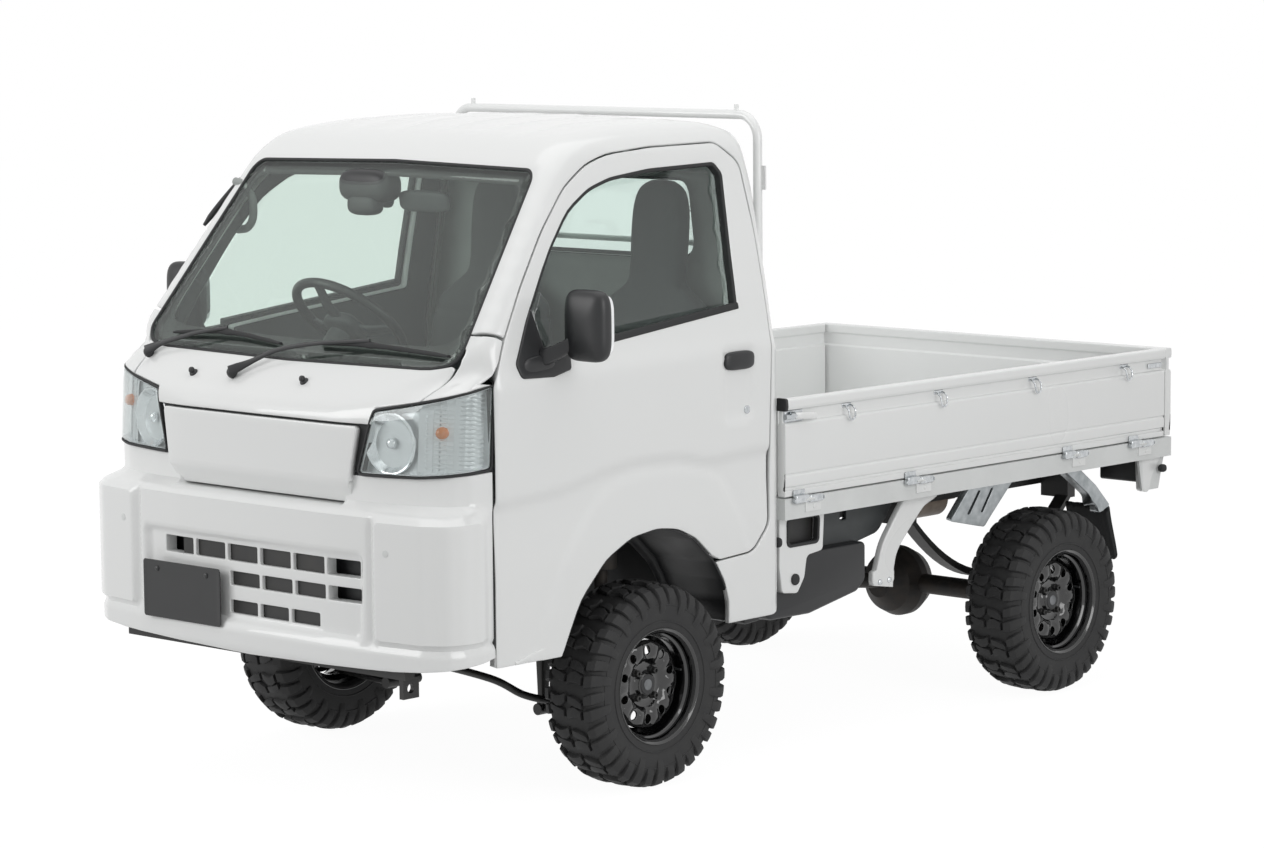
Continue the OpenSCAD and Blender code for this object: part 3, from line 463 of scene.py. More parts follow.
# Baked acrylic enamel on pressed steel: bright, glossy, with a faint orange-peel ripple.
enamel = finish("white_enamel_baked", "#ECEDEC", 0.30, spots=("#E9EBEB", 600, 0.4), bump=(9, 0.05, 0.2),
                Coat_Weight=0.6, Coat_Roughness=0.05, IOR=1.5)
# The same paint inside the bed and under the cab, duller and a little dusty.
enamel_dull = finish("white_enamel_worn", "#E2E4E3", 0.42, spots=("#D6D8D7", 160, 0.8), bump=(7, 0.06, 0.3))
# Black polypropylene moulded with a fine leather-like grain, for mirrors, handles and covers.
black_moulded = finish("black_polypropylene_moulded", "#17181A", 0.42, spots=("#1E1F21", 60, 0.8),
                       bump=(1.6, 0.12, 0.4))
# EPDM rubber extrusions round the glass: matt, slightly grey.
seal_rubber = finish("epdm_rubber_extruded", "#1A1B1C", 0.7, spots=("#242526", 30, 0.8), bump=(2.5, 0.1, 0.4))
# Carbon-black tyre rubber, moulded: nearly black, with paler dust on it.
tyre_rubber = finish("tyre_rubber_moulded", "#1B1B1C", 0.72, spots=("#2C2C2C", 45, 0.85),
                     bump=(2.2, 0.25, 0.6))
# Steel wheel in gloss black powder coat: deep gloss with a light ripple.
rim_coat = finish("gloss_black_powder_coat", "#060607", 0.16, spots=("#0C0C0D", 80, 0.8),
                  bump=(5, 0.04, 0.3), Coat_Weight=0.7, Coat_Roughness=0.06)
# Zinc plate on small steel parts: bright and slightly brushed.
zinc = finish("zinc_plated_steel", "#C9CCCE", 0.24, metal=1.0, spots=("#A9ADB0", 18, 0.8), bump=(3, 0.05, 0.3))
# Hot-dip galvanised sheet of the wheel guards: dull silver with spangle.
galvanised = finish("galvanised_sheet", "#A9ADAF", 0.38, metal=1.0, spots=("#8F9496", 25, 0.9),
                    bump=(6, 0.05, 0.3))
# Vacuum-metallised plastic in the lamps.
mirror_metal = finish("aluminised_reflector", "#F0F1F2", 0.14, metal=1.0, spots=("#D5D8DA", 30, 0.5),
                      bump=(12, 0.03, 0.2))
# The same metal on moulded flutes, which scatter the light.
lamp_flutes = finish("metallised_flutes_satin", "#EEF0F1", 0.34, metal=0.35, spots=("#E8EAEB", 30, 0.5),
                     bump=(6, 0.05, 0.3))
# Chassis black: satin cathodic paint on steel with road dust.
chassis_black = finish("chassis_paint_satin", "#141415", 0.5, spots=("#2A2926", 70, 0.7), bump=(4, 0.2, 0.5))
cast_metal = finish("cast_iron_rough", "#1C1B1A", 0.6, metal=0.4, spots=("#39322C", 40, 0.7),
                    bump=(3, 0.3, 0.6))
alloy = finish("cast_aluminium_sand", "#7C7E80", 0.5, metal=1.0, spots=("#5E6062", 35, 0.8),
               bump=(2.5, 0.2, 0.5))
exhaust_steel = finish("exhaust_steel_heated", "#5E564E", 0.48, metal=1.0, spots=("#3A2F28", 60, 0.8),
                       bump=(4, 0.15, 0.4))
# ABS trim inside the cab, dark grey and grained; the lighter one is for pillars and the roof.
dash_abs = finish("dash_abs_grained", "#383B3C", 0.55, spots=("#404344", 50, 0.8), bump=(2.0, 0.12, 0.5))
trim_grey = finish("light_grey_trim_moulded", "#9DA19F", 0.6, spots=("#939795", 80, 0.8), bump=(2.4, 0.12, 0.4))
floor_mat = finish("vinyl_floor_grained", "#2C2D2E", 0.75, spots=("#363636", 60, 0.8), bump=(3.0, 0.3, 0.6))
plate_black = finish("number_plate_blank_satin", "#1D1E1F", 0.36, spots=("#232425", 90, 0.7),
                     bump=(4, 0.04, 0.3))
# Black fired-on enamel band on the inside of the screen.
ceramic_band = finish("ceramic_band_fired", "#0C0D0E", 0.45, spots=("#111213", 90, 0.8), bump=(2, 0.02, 0.2))
amber = finish("amber_bulb_glass", "#F08A24", 0.12, spots=("#E87A14", 20, 0.6), Coat_Weight=0.5)
red_lens = finish("red_pmma_lens", "#9E0D10", 0.1, spots=("#8C0A0D", 40, 0.5), Coat_Weight=0.5)
clear_lens_back = finish("white_pmma_lens", "#C9CBCC", 0.12, spots=("#BFC2C3", 40, 0.5), Coat_Weight=0.5)
print("finishes", len(bpy.data.materials))

# %% [markdown]
# Safety glass is float glass with a faint green tint. A real thin pane barely bends light, so a
# mix of clear transparency and a sharp reflection that grows at shallow angles looks right and
# keeps the inside bright. The tint is the colour of the transparent part.

# %% Glass


def pane_glass(name, tint, veil, rough=0.01):
    """A pane: light passes tinted, and reflects 4 % head on and all of it
    edge on (Schlick's rule); veil adds a grey film."""
    made = bpy.data.materials.new(name)
    made.use_nodes = True
    tree = made.node_tree
    tree.nodes.clear()
    place = add(tree, "ShaderNodeTexCoord").outputs["Object"]
    film = add(tree, "ShaderNodeTexNoise", {"Vector": place, "Scale": 6.0, "Detail": 3.0})
    haze = add(tree, "ShaderNodeMapRange", {"Value": film.outputs["Fac"], "To Min": veil * 0.8,
                                            "To Max": veil * 1.2})
    clear = add(tree, "ShaderNodeBsdfTransparent", {"Color": colour(tint)})
    dull = add(tree, "ShaderNodeBsdfDiffuse", {"Color": colour("#B9C4C0")})
    body = add(tree, "ShaderNodeMixShader", {0: haze.outputs["Result"], 1: clear.outputs[0],
                                             2: dull.outputs[0]})
    shine = add(tree, "ShaderNodeBsdfGlossy", {"Color": (1, 1, 1, 1), "Roughness": rough})
    slant = add(tree, "ShaderNodeLayerWeight", {"Blend": 0.5})
    fifth = add(tree, "ShaderNodeMath", {0: slant.outputs["Facing"], 1: 5.0}, operation="POWER")
    edge = add(tree, "ShaderNodeMapRange", {"Value": fifth.outputs[0], "To Min": 0.04, "To Max": 1.0})
    both = add(tree, "ShaderNodeMixShader", {0: edge.outputs[0], 1: body.outputs[0], 2: shine.outputs[0]})
    out = add(tree, "ShaderNodeOutputMaterial", {"Surface": both.outputs[0]})
    out.is_active_output = True
    return made


screen_glass = pane_glass("laminated_screen_glass", "#F5FAF7", 0.014)
side_glass = pane_glass("tempered_side_glass", "#F4F9F7", 0.012)
lamp_clear = pane_glass("clear_polycarbonate_lens", "#F2F4F4", 0.05)
print("glass ready")

# %% [markdown]
# The cab's skin is where three rounded outlines meet: one seen from the side, one from the
# front and one from above. Each gives a signed distance, below zero inside. Where two of them
# cross, an arc of a set radius joins them. The skin is where the joined value is zero, and a
# point on it is found by halving an interval along one axis.

# %% The cab's skin


def field(outline, low, high, step=5.0):
    """Signed distance to an outline, worked out once on a grid and read between its points."""
    a = np.arange(low[0], high[0] + step, step)
    b = np.arange(low[1], high[1] + step, step)
    grid = np.stack(np.meshgrid(a, b, indexing="ij"), -1).reshape(-1, 2)
    value = gap_to(grid, outline, np.roll(outline, -1, 0)) * np.where(inside(grid, outline), -1, 1)
    value = value.reshape(len(a), len(b))

    def read(u, v):
        u = np.clip((u - low[0]) / step, 0, len(a) - 1.001)
        v = np.clip((v - low[1]) / step, 0, len(b) - 1.001)
        i, j = u.astype(int), v.astype(int)
        s, t = u - i, v - j
        return (value[i, j] * (1 - s) * (1 - t) + value[i + 1, j] * s * (1 - t)
                + value[i, j + 1] * (1 - s) * t + value[i + 1, j + 1] * s * t)
    return read


ROOF_TOP = wall_low[2] * 0 + corners("roof")[1][2]
# side outline: [behind the front face, height, corner radius]
SIDE_ROWS = [[-200, 300, 0], [-200, 872, 0], [206, 1259, 60], [592, 1764, 45], [690, ROOF_TOP - 51, 260],
             [880, ROOF_TOP - 12, 600], [1100, ROOF_TOP, 900], [1325, ROOF_TOP - 13, 300],
             [1402, ROOF_TOP - 62, 60], [1430, ROOF_TOP - 200, 200], [1434, 1450, 60], [1434, 300, 0]]
# front outline, one half: [from the middle, height, corner radius]
FRONT_ROWS = [[HALF_W, 300, 0], [HALF_W, 1190, 60], [HALF_W - 14, 1232, 120], [HALF_W - 112, 1800, 60],
              [HALF_W - 142, ROOF_TOP - 47, 50], [HALF_W - 210, ROOF_TOP - 19, 160], [0, ROOF_TOP + 3, 0]]
# plan outline, one half: [from the middle, behind the front face, corner radius]
PLAN_ROWS = [[0, 40, 0], [330, 44, 500], [445, 60, 160], [HALF_W + 3, 262, 42], [HALF_W, 1434, 26], [0, 1434, 0]]
side_line = rounded(SIDE_ROWS)
front_line = rounded(FRONT_ROWS + [[-r[0], r[1], r[2]] for r in FRONT_ROWS[-2::-1]])
plan_line = rounded(PLAN_ROWS + [[-r[0], r[1], r[2]] for r in PLAN_ROWS[-2:0:-1]])
side_field = field(side_line, (-260, 280), (1500, 1960))
front_field = field(front_line, (-20, 280), (860, 1960))
plan_field = field(plan_line, (-20, -120), (860, 1500))


def arc_join(a, b, r):
    """The larger of two distances, with an arc of radius r where they cross."""
    return np.minimum(np.maximum(a, b), -r) + np.hypot(np.maximum(a + r, 0), np.maximum(b + r, 0))


def cab_value(x, y, z):
    """Below zero inside the cab. y is behind the front face; the nose leans back 16 mm."""
    lean = np.clip((z - 430) / 700, 0, 1.2) * 16
    belt = np.interp(y, [250, 1400], [0, 30])
    rise = np.where(z < 1400, belt, belt * np.clip((1700 - z) / 300, 0, 1)) * np.clip((z - 900) / 200, 0, 1)
    up = arc_join(side_field(y, z), front_field(np.abs(x), z - rise), 52)
    return arc_join(up, plan_field(np.abs(x), y - lean), 16)


def halve(value, low, high, rounds=24):
    """Where value turns from below zero at low to above zero at high."""
    low, high = low.astype(float).copy(), high.astype(float).copy()
    for _ in range(rounds):
        middle = (low + high) / 2
        out = value(middle) > 0
        high = np.where(out, middle, high)
        low = np.where(out, low, middle)
    return (low + high) / 2


def skin_x(y, z):
    """Half width of the skin at a place seen from the side."""
    return halve(lambda t: cab_value(t, y - FRONT, z), np.full(len(y), 300.0), np.full(len(y), 850.0))


def skin_y(x, z, deep=900):
    """How far forward the skin is at a place seen from the front."""
    return FRONT - halve(lambda t: cab_value(x, -t, z), np.full(len(x), -float(deep)), np.full(len(x), 60.0))


def skin_back(x, z):
    """The rear wall's place at a place seen from behind."""
    return FRONT + halve(lambda t: cab_value(x, t, z), np.full(len(x), 1000.0), np.full(len(x), 1490.0))


print("skin at the belt", skin_x(np.array([FRONT + 700]), np.array([1100.0])))

# %% [markdown]
# Round the lamps the nose is squarer than the cab above it. Its plan is a line of its own, with
# a tight corner, and it blends back into the cab's skin over 70 mm above the lamps' top edge.

# %% Nose


def smooth(t):
    """0 to 1 with level ends: 3t squared less 2t cubed."""
    t = np.clip(t, 0, 1)
    return t * t * (3 - 2 * t)


NOSE_X = float(skin_x(np.array([FRONT + 262.0]), np.array([1080.0]))[0])
nose_line = rounded([[0, 40, 0], [330, 46, 500], [447, 58, 200], [600, 86, 200], [NOSE_X - 42, 126, 80],
                     [NOSE_X - 8, 186, 60], [NOSE_X, 262, 0]], closed=False)
nose_s = np.concatenate([[0], np.cumsum(np.linalg.norm(np.diff(nose_line, axis=0), axis=1))])
NOSE_END = nose_s[-1]


def nose_join(plan_y, z):
    """How far behind the front face: the plan, leaning back a little with height, joined smoothly to
    the cab's own side profile (the larger of the two, with a 24 mm blend)."""
    plan_y = plan_y + 0.06 * (z - 950)
    side = skin_y(np.zeros(len(z)), z) - FRONT
    return 0.5 * (plan_y + side + np.sqrt((plan_y - side) ** 2 + 24 ** 2))


def lamp_edge(x):
    """Height of the lamps' top edge at this x."""
    return 1131 + 68 * (np.interp(np.abs(x), nose_line[:, 0], nose_s) - 449) / (NOSE_END - 455)


def nose_push(p):
    """Moves points of the cab's skin forward to the nose, and leaves them where it has faded out."""
    x, z = np.abs(p[:, 0]), p[:, 2]
    fade = (1 - smooth((z - lamp_edge(x)) / 70)) * smooth((FRONT + 266 - p[:, 1]) / 14)
    push = p[:, 1] - FRONT - nose_join(np.interp(x, nose_line[:, 0], nose_line[:, 1]), z)
    return p - np.array([0, 1, 0]) * (np.clip(push, 0, None) * fade)[:, None]


print("nose corner x", round(NOSE_X, 1), "plan length", round(NOSE_END, 1))

# %% [markdown]
# Seams are lines on the skin. A line drawn from the side or from the front is put on the skin
# first. The roof, pillars and rear posts wrap round the cab, so they use a turning map: one
# parameter is the angle about a line through the cab, the other is the place along the truck.

# %% Seams and maps
TURN_Z = 1150.0
TURN_R = 700.0
BACK_LINE = CAB_BACK - 13


def put_side(yz, sign=1):
    """[behind the front face, height] points on the skin of one side."""
    yz = np.asarray(yz, float)[:, :2]
    y = yz[:, 0] + FRONT
    return np.stack([sign * skin_x(y, yz[:, 1]), y, yz[:, 1]], -1)


def put_cab(xz):
    """[x, height] points on the front of the cab's plain skin."""
    xz = np.asarray(xz, float)[:, :2]
    return np.stack([xz[:, 0], skin_y(xz[:, 0], xz[:, 1]), xz[:, 1]], -1)


def put_front(xz):
    """[x, height] points on the front, with the nose."""
    return nose_push(put_cab(xz))


def turned(points):
    """Points on the skin as [angle times a radius, y]."""
    return np.stack([TURN_R * np.arctan2(points[:, 0], points[:, 2] - TURN_Z), points[:, 1]], -1)


def from_turned(ab):
    """The turning map: along a spoke at this angle, the place where the skin is."""
    angle, y = ab[:, 0] / TURN_R, ab[:, 1] - FRONT
    sx, sz = np.sin(angle), np.cos(angle)
    t = halve(lambda t: cab_value(t * sx, y, TURN_Z + t * sz), np.full(len(ab), 40.0), np.full(len(ab), 1250.0))
    return np.stack([t * sx, ab[:, 1], TURN_Z + t * sz], -1)


def to_left(rows):
    """Outline rows measured from the front face, as absolute [y, z]."""
    return rounded(rows) + np.array([FRONT, 0])


DOOR_ROWS = [[258, 431, 4], [262, 975, 0], [263, 1201, 60], [320, 1317, 500], [408, 1452, 600],
             [519, 1598, 500], [627, 1711, 250], [724, 1769, 200], [815, 1795, 300], [997, 1808, 400],
             [1269, 1811, 60], [1362, 1750, 70], [1386, 1550, 800], [1393, 1297, 900], [1376, 836, 500],
             [1375, 702, 60], [1308, 632, 60], [1158, 623, 20]]
ARCH_ROWS = [[1122, 640, 40], [1055, 698, 120], [980, 732, 150], [896, 742, 150], [790, 729, 150],
             [686, 680, 160], [582, 579, 200], [505, 431, 8]]
ARCH_CUT = [[505, 300, 0], [505, 431, 0], [582, 579, 200], [686, 680, 160], [790, 729, 150],
            [896, 742, 150], [980, 732, 150], [1055, 698, 120], [1141, 623, 80], [1180, 560, 60],
            [1198, 500, 40], [1198, 300, 0]]
WINDOW_ROWS = [[352, 1250, 22], [412, 1362, 300], [498, 1492, 300], [543, 1554, 400], [628, 1650, 200],
               [724, 1705, 200], [815, 1730, 250], [977, 1747, 400], [1252, 1754, 28], [1283, 1721, 30],
               [1271, 1494, 300], [1266, 1338, 10], [762, 1288, 600], [566, 1266, 8], [560, 1222, 10],
               [489, 1207, 20], [366, 1211, 18]]
SAIL_ROWS = [[352, 1250, 22], [406, 1352, 300], [434, 1400, 0], [470, 1275, 14], [484, 1258, 10],
             [566, 1264, 8], [560, 1222, 10], [489, 1207, 20], [366, 1211, 18]]
GLASS_ROWS = [[432, 1392, 0], [498, 1492, 300], [543, 1554, 400], [628, 1650, 200], [724, 1705, 200],
              [815, 1730, 250], [977, 1747, 400], [1252, 1754, 28], [1283, 1721, 30], [1271, 1494, 300],
              [1266, 1338, 10], [762, 1288, 600], [500, 1259, 8], [470, 1275, 10]]
SCREEN_ROWS = [[645, 1262, 52], [569, 1757, 42], [0, 1768, 0]]
screen_outline = rounded(SCREEN_ROWS + [[-569, 1757, 42], [-645, 1262, 52], [-560, 1243, 400],
                                        [0, 1236, 0], [560, 1243, 400]])
door_outline = to_left(DOOR_ROWS + ARCH_ROWS)
window_outline = to_left(WINDOW_ROWS)


# pressed lines of the door: the crease, then the flare over the wheel
CREASE = to_left([[-50, 880, 0], [300, 888, 200], [520, 902, 300], [690, 938, 400], [830, 952, 400],
                  [1000, 948, 300], [1120, 922, 200], [1250, 930, 400], [1500, 936, 0]])[:, :]
FLARE = np.array([[441, 547], [500, 690], [566, 779], [659, 870], [792, 922], [961, 930], [1090, 913],
                  [1177, 864], [1253, 753], [1300, 640], [1290, 380], [400, 380]], float) + (FRONT, 0)
RECESS = to_left([[1176, 1016, 14], [1176, 1232, 14], [1322, 1232, 14], [1322, 1016, 40]])


def pressed(y, z, outline, width):
    """0 outside an outline and 1 inside it, changing smoothly over a width inside its edge."""
    p = np.stack([y, z], -1)
    gap = gap_to(p, outline, np.roll(outline, -1, 0))
    return smooth(gap / width) * inside(p, outline)


def door_relief(y, z):
    """How far the pressed skin lies inside the plain skin: below the crease the sheet steps in
    11 mm and comes slowly back, over the wheel it stands proud again, and the handle sits in a dish."""
    line = np.interp(y, *CREASE[np.argsort(CREASE[:, 0])].T)
    below = line - z
    step_in = 11 * smooth(below / 26) * (1 - 0.55 * smooth((below - 26) / 210))
    flare = 6.5 * pressed(y, z, FLARE, 24) * (1 - smooth((z - line + 60) / 40))
    dish = 8.0 * pressed(y, z, RECESS, 11)
    return step_in - flare + dish


def door_map(sign):
    """The side map: half width less the relief, at [y, z]."""
    def place(yz):
        x = skin_x(yz[:, 0], yz[:, 1]) - door_relief(yz[:, 0], yz[:, 1])
        return np.stack([sign * x, yz[:, 0], yz[:, 1]], -1)
    return place


def thicken(obj, mm, offset=-1.0):
    """Gives a sheet its wall: the Solidify modifier moves a copy of the faces in."""
    wall = obj.modifiers.new("wall", "SOLIDIFY")
    wall.thickness = mm * MM
    wall.offset = offset
    return obj


def inward(form):
    """The same faces, pointing the other way."""
    points, faces = form
    return points, [np.asarray(f)[:, ::-1] for f in faces]


print("door outline points", len(door_outline))

# %% [markdown]
# Each door is a pressed skin with a hemmed edge, a wall as thick as the real door, and a moulded
# card on the inside. The skin keeps 2.5 mm to the seam, so the shut line shows as a dark gap.

# %% Doors
SHUT = 2.5
for side_name, sign in (("left", 1), ("right", -1)):
    body = "door_" + side_name
    skin = panel([grown(door_outline, -SHUT)], [window_outline], door_map(sign), step=17, roll=3.0, flange=46)
    door = add_piece(f"door_{side_name}_skin", *skin, enamel, body, "door_" + side_name, closed=False)
    thicken(door, 1.0)
    card_edge = grown(door_outline, -SHUT - 3)
    card_edge[:, 0] = np.clip(card_edge[:, 0], FRONT + 340, FRONT + 1368)
    card = panel([card_edge], [grown(window_outline, 3)], door_map(sign), step=40, roll=2.0, flange=6, sink=44)
    thicken(add_piece(f"door_{side_name}_card", *inward(card), dash_abs, body, closed=False), 1.5, 1.0)
    pane = panel([grown(to_left(GLASS_ROWS), 3)], [], door_map(sign), step=60, roll=0, flange=0, sink=18)
    glass = add_piece(f"door_{side_name}_pane", *pane, side_glass, body, "door_glass_" + side_name, closed=False)
    thicken(glass, 4.0)
print("doors made")

# %% [markdown]
# The roof, both screen pillars and both rear posts are one welded shell. It is cut in the turning
# map, with holes for the doors and the screen. Long shallow ribs stiffen the roof.

# %% Cab shell
RIB_X = (-420, -252, -84, 84, 252, 420)


def ribbed(ab):
    """The turning map, with ribs 4 mm high that fade in and out along the roof."""
    p = from_turned(ab)
    along = smooth((p[:, 1] - FRONT - 640) / 130) * (1 - smooth((p[:, 1] - FRONT - 1250) / 60))
    rise = sum(smooth(1 - np.abs(p[:, 0] - x) / 34) for x in RIB_X)
    return p + np.stack([np.zeros(len(p)), np.zeros(len(p)), 4.0 * rise * along * (p[:, 2] > 1700)], -1)


pillar_low = turned(put_front([[634, 1334]]))[0]
pillar_seam = turned(put_side([[326, 1323]]))[0]
sill_turn = TURN_R * math.atan2(HALF_W, 431 - TURN_Z)
shell_outline = np.array([[-sill_turn, pillar_seam[1]], [-pillar_seam[0], pillar_seam[1]],
                          [-pillar_low[0], pillar_low[1]], [pillar_low[0], pillar_low[1]],
                          [pillar_seam[0], pillar_seam[1]], [sill_turn, pillar_seam[1]],
                          [sill_turn, BACK_LINE], [-sill_turn, BACK_LINE]])
screen_hole = turned(put_front(dense(grown(screen_outline, 1.5), 25)))
shell_holes = [screen_hole]
door_hole = np.concatenate([grown(to_left(DOOR_ROWS), SHUT)])
door_hole = dense(grown(rounded(DOOR_ROWS), SHUT), 20)
arch_cut = dense(rounded(ARCH_CUT), 20)
for sign in (1, -1):
    for outline in (door_hole, arch_cut):
        keep = np.clip(outline, [250, 300], None)
        shell_holes.append(turned(put_side(keep, sign)))
shell = panel([shell_outline], shell_holes, ribbed, step=21, roll=3.0, flange=14)
cab_shell = add_piece("cab_shell", *shell, enamel, "chassis",
                      ("roof", "cab_side_left", "cab_side_right"), closed=False)
thicken(cab_shell, 1.2)
lining = panel([shell_outline], [grown(h, 10) for h in shell_holes], from_turned, step=44, roll=0, flange=0, sink=34)
thicken(add_piece("roof_lining", *inward(lining), trim_grey, "chassis", closed=False), 2.0, 1.0)

back_curve = from_turned(np.stack([np.linspace(-sill_turn, sill_turn, 160), np.full(160, BACK_LINE)], -1))
back_outline = back_curve[:, [0, 2]]
rear_window = rounded([[425, 1455, 55], [398, 1697, 60], [-398, 1697, 60], [-425, 1455, 55]])


def back_map(xz):
    """The rear wall's skin at [x, z], with two pressed grooves across it below the window."""
    y = skin_back(xz[:, 0], xz[:, 1])
    dish = sum(smooth(1 - np.abs(np.abs(xz[:, 0]) - 330) / 230 * 1.0) * 0 for _ in (0,))
    groove = 3.5 * sum(smooth(1 - np.abs(xz[:, 1] - z) / 16) for z in (1180, 1300))
    groove = groove * smooth((600 - np.abs(xz[:, 0])) / 40)
    return np.stack([xz[:, 0], y - groove - dish, xz[:, 1]], -1)


wall = panel([back_outline], [rear_window], back_map, step=24, roll=3.0, flange=16)
back_wall = add_piece("cab_back_wall", *wall, enamel, "chassis", "cab_rear_wall", closed=False)
thicken(back_wall, 1.2)
inner_wall = panel([grown(back_outline, -26)], [grown(rear_window, 2)], back_map, step=50, roll=0, flange=0, sink=30)
thicken(add_piece("rear_wall_lining", *inward(inner_wall), trim_grey, "chassis", closed=False), 2.0, 1.0)
pane = panel([grown(rear_window, -2)], [], back_map, step=70, roll=0, flange=0, sink=10)
thicken(add_piece("rear_window_pane", *pane, side_glass, "chassis", "rear_window", closed=False), 4.0)
print("cab shell points", len(shell[0]))

# %% [markdown]
# Below the screen, a panel carries the wipers. It ends at the lamps and at a seam on each side,
# where a corner panel closes the space to the door.

# %% Panels below the screen


def front_map(xz):
    """The front map: the skin at [x, z]."""
    return put_front(xz)


cowl_outline = rounded([[441, 1092, 6], [449, 1138, 6], [590, lamp_edge(590.0) + 5, 3], [612, 1196, 60], [640, 1254, 10],
                        [560, 1239, 400], [0, 1232, 0], [-560, 1239, 400], [-640, 1254, 10],
                        [-612, 1196, 60], [-590, lamp_edge(590.0) + 5, 3], [-449, 1138, 6], [-441, 1092, 6]])
cowl = panel([cowl_outline], [], front_map, step=20, roll=4.0, flange=20)
thicken(add_piece("cowl_panel", *cowl, enamel, "chassis", "front_panel", closed=False), 1.2)
for side_name, sign in (("left", 1), ("right", -1)):
    low_x = np.linspace(597, NOSE_X - 2, 9)
    low = put_cab(np.stack([low_x, lamp_edge(low_x) + 5], -1))
    seam = put_side([[258, 1207], [262, 1220], [290, 1263], [316, 1316]])
    high = put_cab([[700, 1328], [668, 1331], [637, 1331]])
    screen_side = put_cab([[640, 1300], [646, 1268], [645, 1254], [616, 1196]])
    loop = np.concatenate([low, seam, high, screen_side]) * (sign, 1, 1)
    flat = turned(loop)
    corner = panel([flat], [], lambda ab: nose_push(from_turned(ab)), step=16, roll=3.0, flange=14)
    thicken(add_piece(f"corner_panel_{side_name}", *corner, enamel, "chassis", closed=False), 1.2)
print("cowl made")

# %% [markdown]
# The laminated screen is bonded in. Behind its edge runs the black ceramic band, which is deeper
# at the foot, where the wipers park.

# %% Windscreen
pane = panel([screen_outline], [], front_map, step=40, roll=1.5, flange=0, sink=3)
screen = add_piece("screen_pane", *pane, screen_glass, "chassis", "windscreen", closed=False)
thicken(screen, 5.0)
band_hole = rounded([[601, 1322, 60], [540, 1722, 34], [0, 1732, 0], [-540, 1722, 34], [-601, 1322, 60],
                     [-520, 1300, 400], [0, 1292, 0], [520, 1300, 400]])
band = panel([grown(screen_outline, -2)], [band_hole], front_map, step=40, roll=0, flange=0, sink=9.5)
thicken(add_piece("screen_band", *band, ceramic_band, "chassis", closed=False), 0.6)


def moulding(path, normals, section, closed=True):
    """A profile carried along a path on a surface: across the path by the section's first number,
    up along the surface's normal by its second."""
    path, normals = np.asarray(path, float), np.asarray(normals, float)
    ahead_ = unit(np.roll(path, -1, 0) - np.roll(path, 1, 0)) if closed else unit(np.gradient(path, axis=0))
    across = unit(np.cross(ahead_, normals))
    section = np.asarray(section, float)
    points = (path[:, None] + across[:, None] * section[None, :, :1] + normals[:, None] * section[None, :, 1:])
    faces = [grid_faces(len(path), len(section), wrap_rows=closed, wrap_columns=True)]
    if not closed:
        n = len(section)
        faces.append(np.array([np.arange(n)[::-1], np.arange(n) + (len(path) - 1) * n]))
    return points.reshape(-1, 3), faces


def bead(width, height, low=-2.0):
    """A flat strip's section with round shoulders."""
    r = min(width, height - low) * 0.3
    return rounded([[-width / 2, low, 0], [-width / 2, height, r], [width / 2, height, r], [width / 2, low, 0]])


def edging(name, outline, place, width, height, material, body, sink=0.0, step=14, low=-2.0, closed=True):
    """A strip that follows an outline on a surface."""
    line = dense(outline, step) if closed else outline
    p, n = on_surface(place, line, CAB_MIDDLE)
    return add_piece(name, *moulding(p - n * sink, n, bead(width, height, low), closed), material, body)


edging("screen_seal", grown(screen_outline, 2), front_map, 9, 1.5, seal_rubber, "chassis", low=-9)
edging("rear_window_seal", rear_window, back_map, 22, 4, seal_rubber, "chassis", low=-12)
for side_name, sign in (("left", 1), ("right", -1)):
    edging(f"window_seal_{side_name}", grown(window_outline, -3), door_map(sign), 13, -1, seal_rubber,
           "door_" + side_name, low=-24)
    belt = rounded([[556, 1271, 0], [762, 1294, 600], [1268, 1345, 0]], closed=False)
    belt = belt[:1] + (belt[-1] - belt[0]) * np.linspace(0, 1, 30)[:, None] + (FRONT, 0)
    edging(f"belt_strip_{side_name}", belt, door_map(sign), 21, 3, seal_rubber, "door_" + side_name,
           low=-18, closed=False)
    sail = panel([to_left(SAIL_ROWS)], [], door_map(sign), step=18, roll=4, flange=20, sink=-3)
    thicken(add_piece(f"sail_trim_{side_name}", *sail, black_moulded, "door_" + side_name, closed=False), 2.0)
print("screen and seals made")

# %% [markdown]
# Soft and moulded parts share one kind of form: sections are superellipses, which run from an
# ellipse to nearly a rectangle as their power rises. They are lofted along a line.

# %% Lofted forms


def loft(centres, u, v, power=2.0, sides=48):
    """Closed form: at each station, centre + u * c + v * s, where c and s are the cosine and sine
    raised to 2 / power with their signs kept."""
    centres, u, v = (np.asarray(a, float) for a in (centres, u, v))
    angle = np.linspace(0, 2 * np.pi, sides, endpoint=False) + np.pi / sides
    c = np.sign(np.cos(angle)) * np.abs(np.cos(angle)) ** (2 / power)
    s = np.sign(np.sin(angle)) * np.abs(np.sin(angle)) ** (2 / power)
    points = centres[:, None] + u[:, None] * c[None, :, None] + v[:, None] * s[None, :, None]
    ends = np.array([np.arange(sides)[::-1], np.arange(sides) + (len(centres) - 1) * sides])
    return points.reshape(-1, 3), [grid_faces(len(centres), sides, wrap_columns=True), ends]


def pillow(centre, half, power=4.0, around=4.0, axes=((1, 0, 0), (0, 1, 0), (0, 0, 1)), rows=22, sides=44):
    """A superellipsoid: along the third axis the sections shrink as a superellipse too."""
    axes = unit(np.asarray(axes, float))
    phi = np.linspace(-np.pi / 2 + 0.02, np.pi / 2 - 0.02, rows)
    along = np.sign(np.sin(phi)) * np.abs(np.sin(phi)) ** (2 / power) * half[2]
    size = np.abs(np.cos(phi)) ** (2 / power)
    centres = np.asarray(centre, float) + along[:, None] * axes[2]
    return loft(centres, size[:, None] * half[0] * axes[0], size[:, None] * half[1] * axes[1], around, sides)


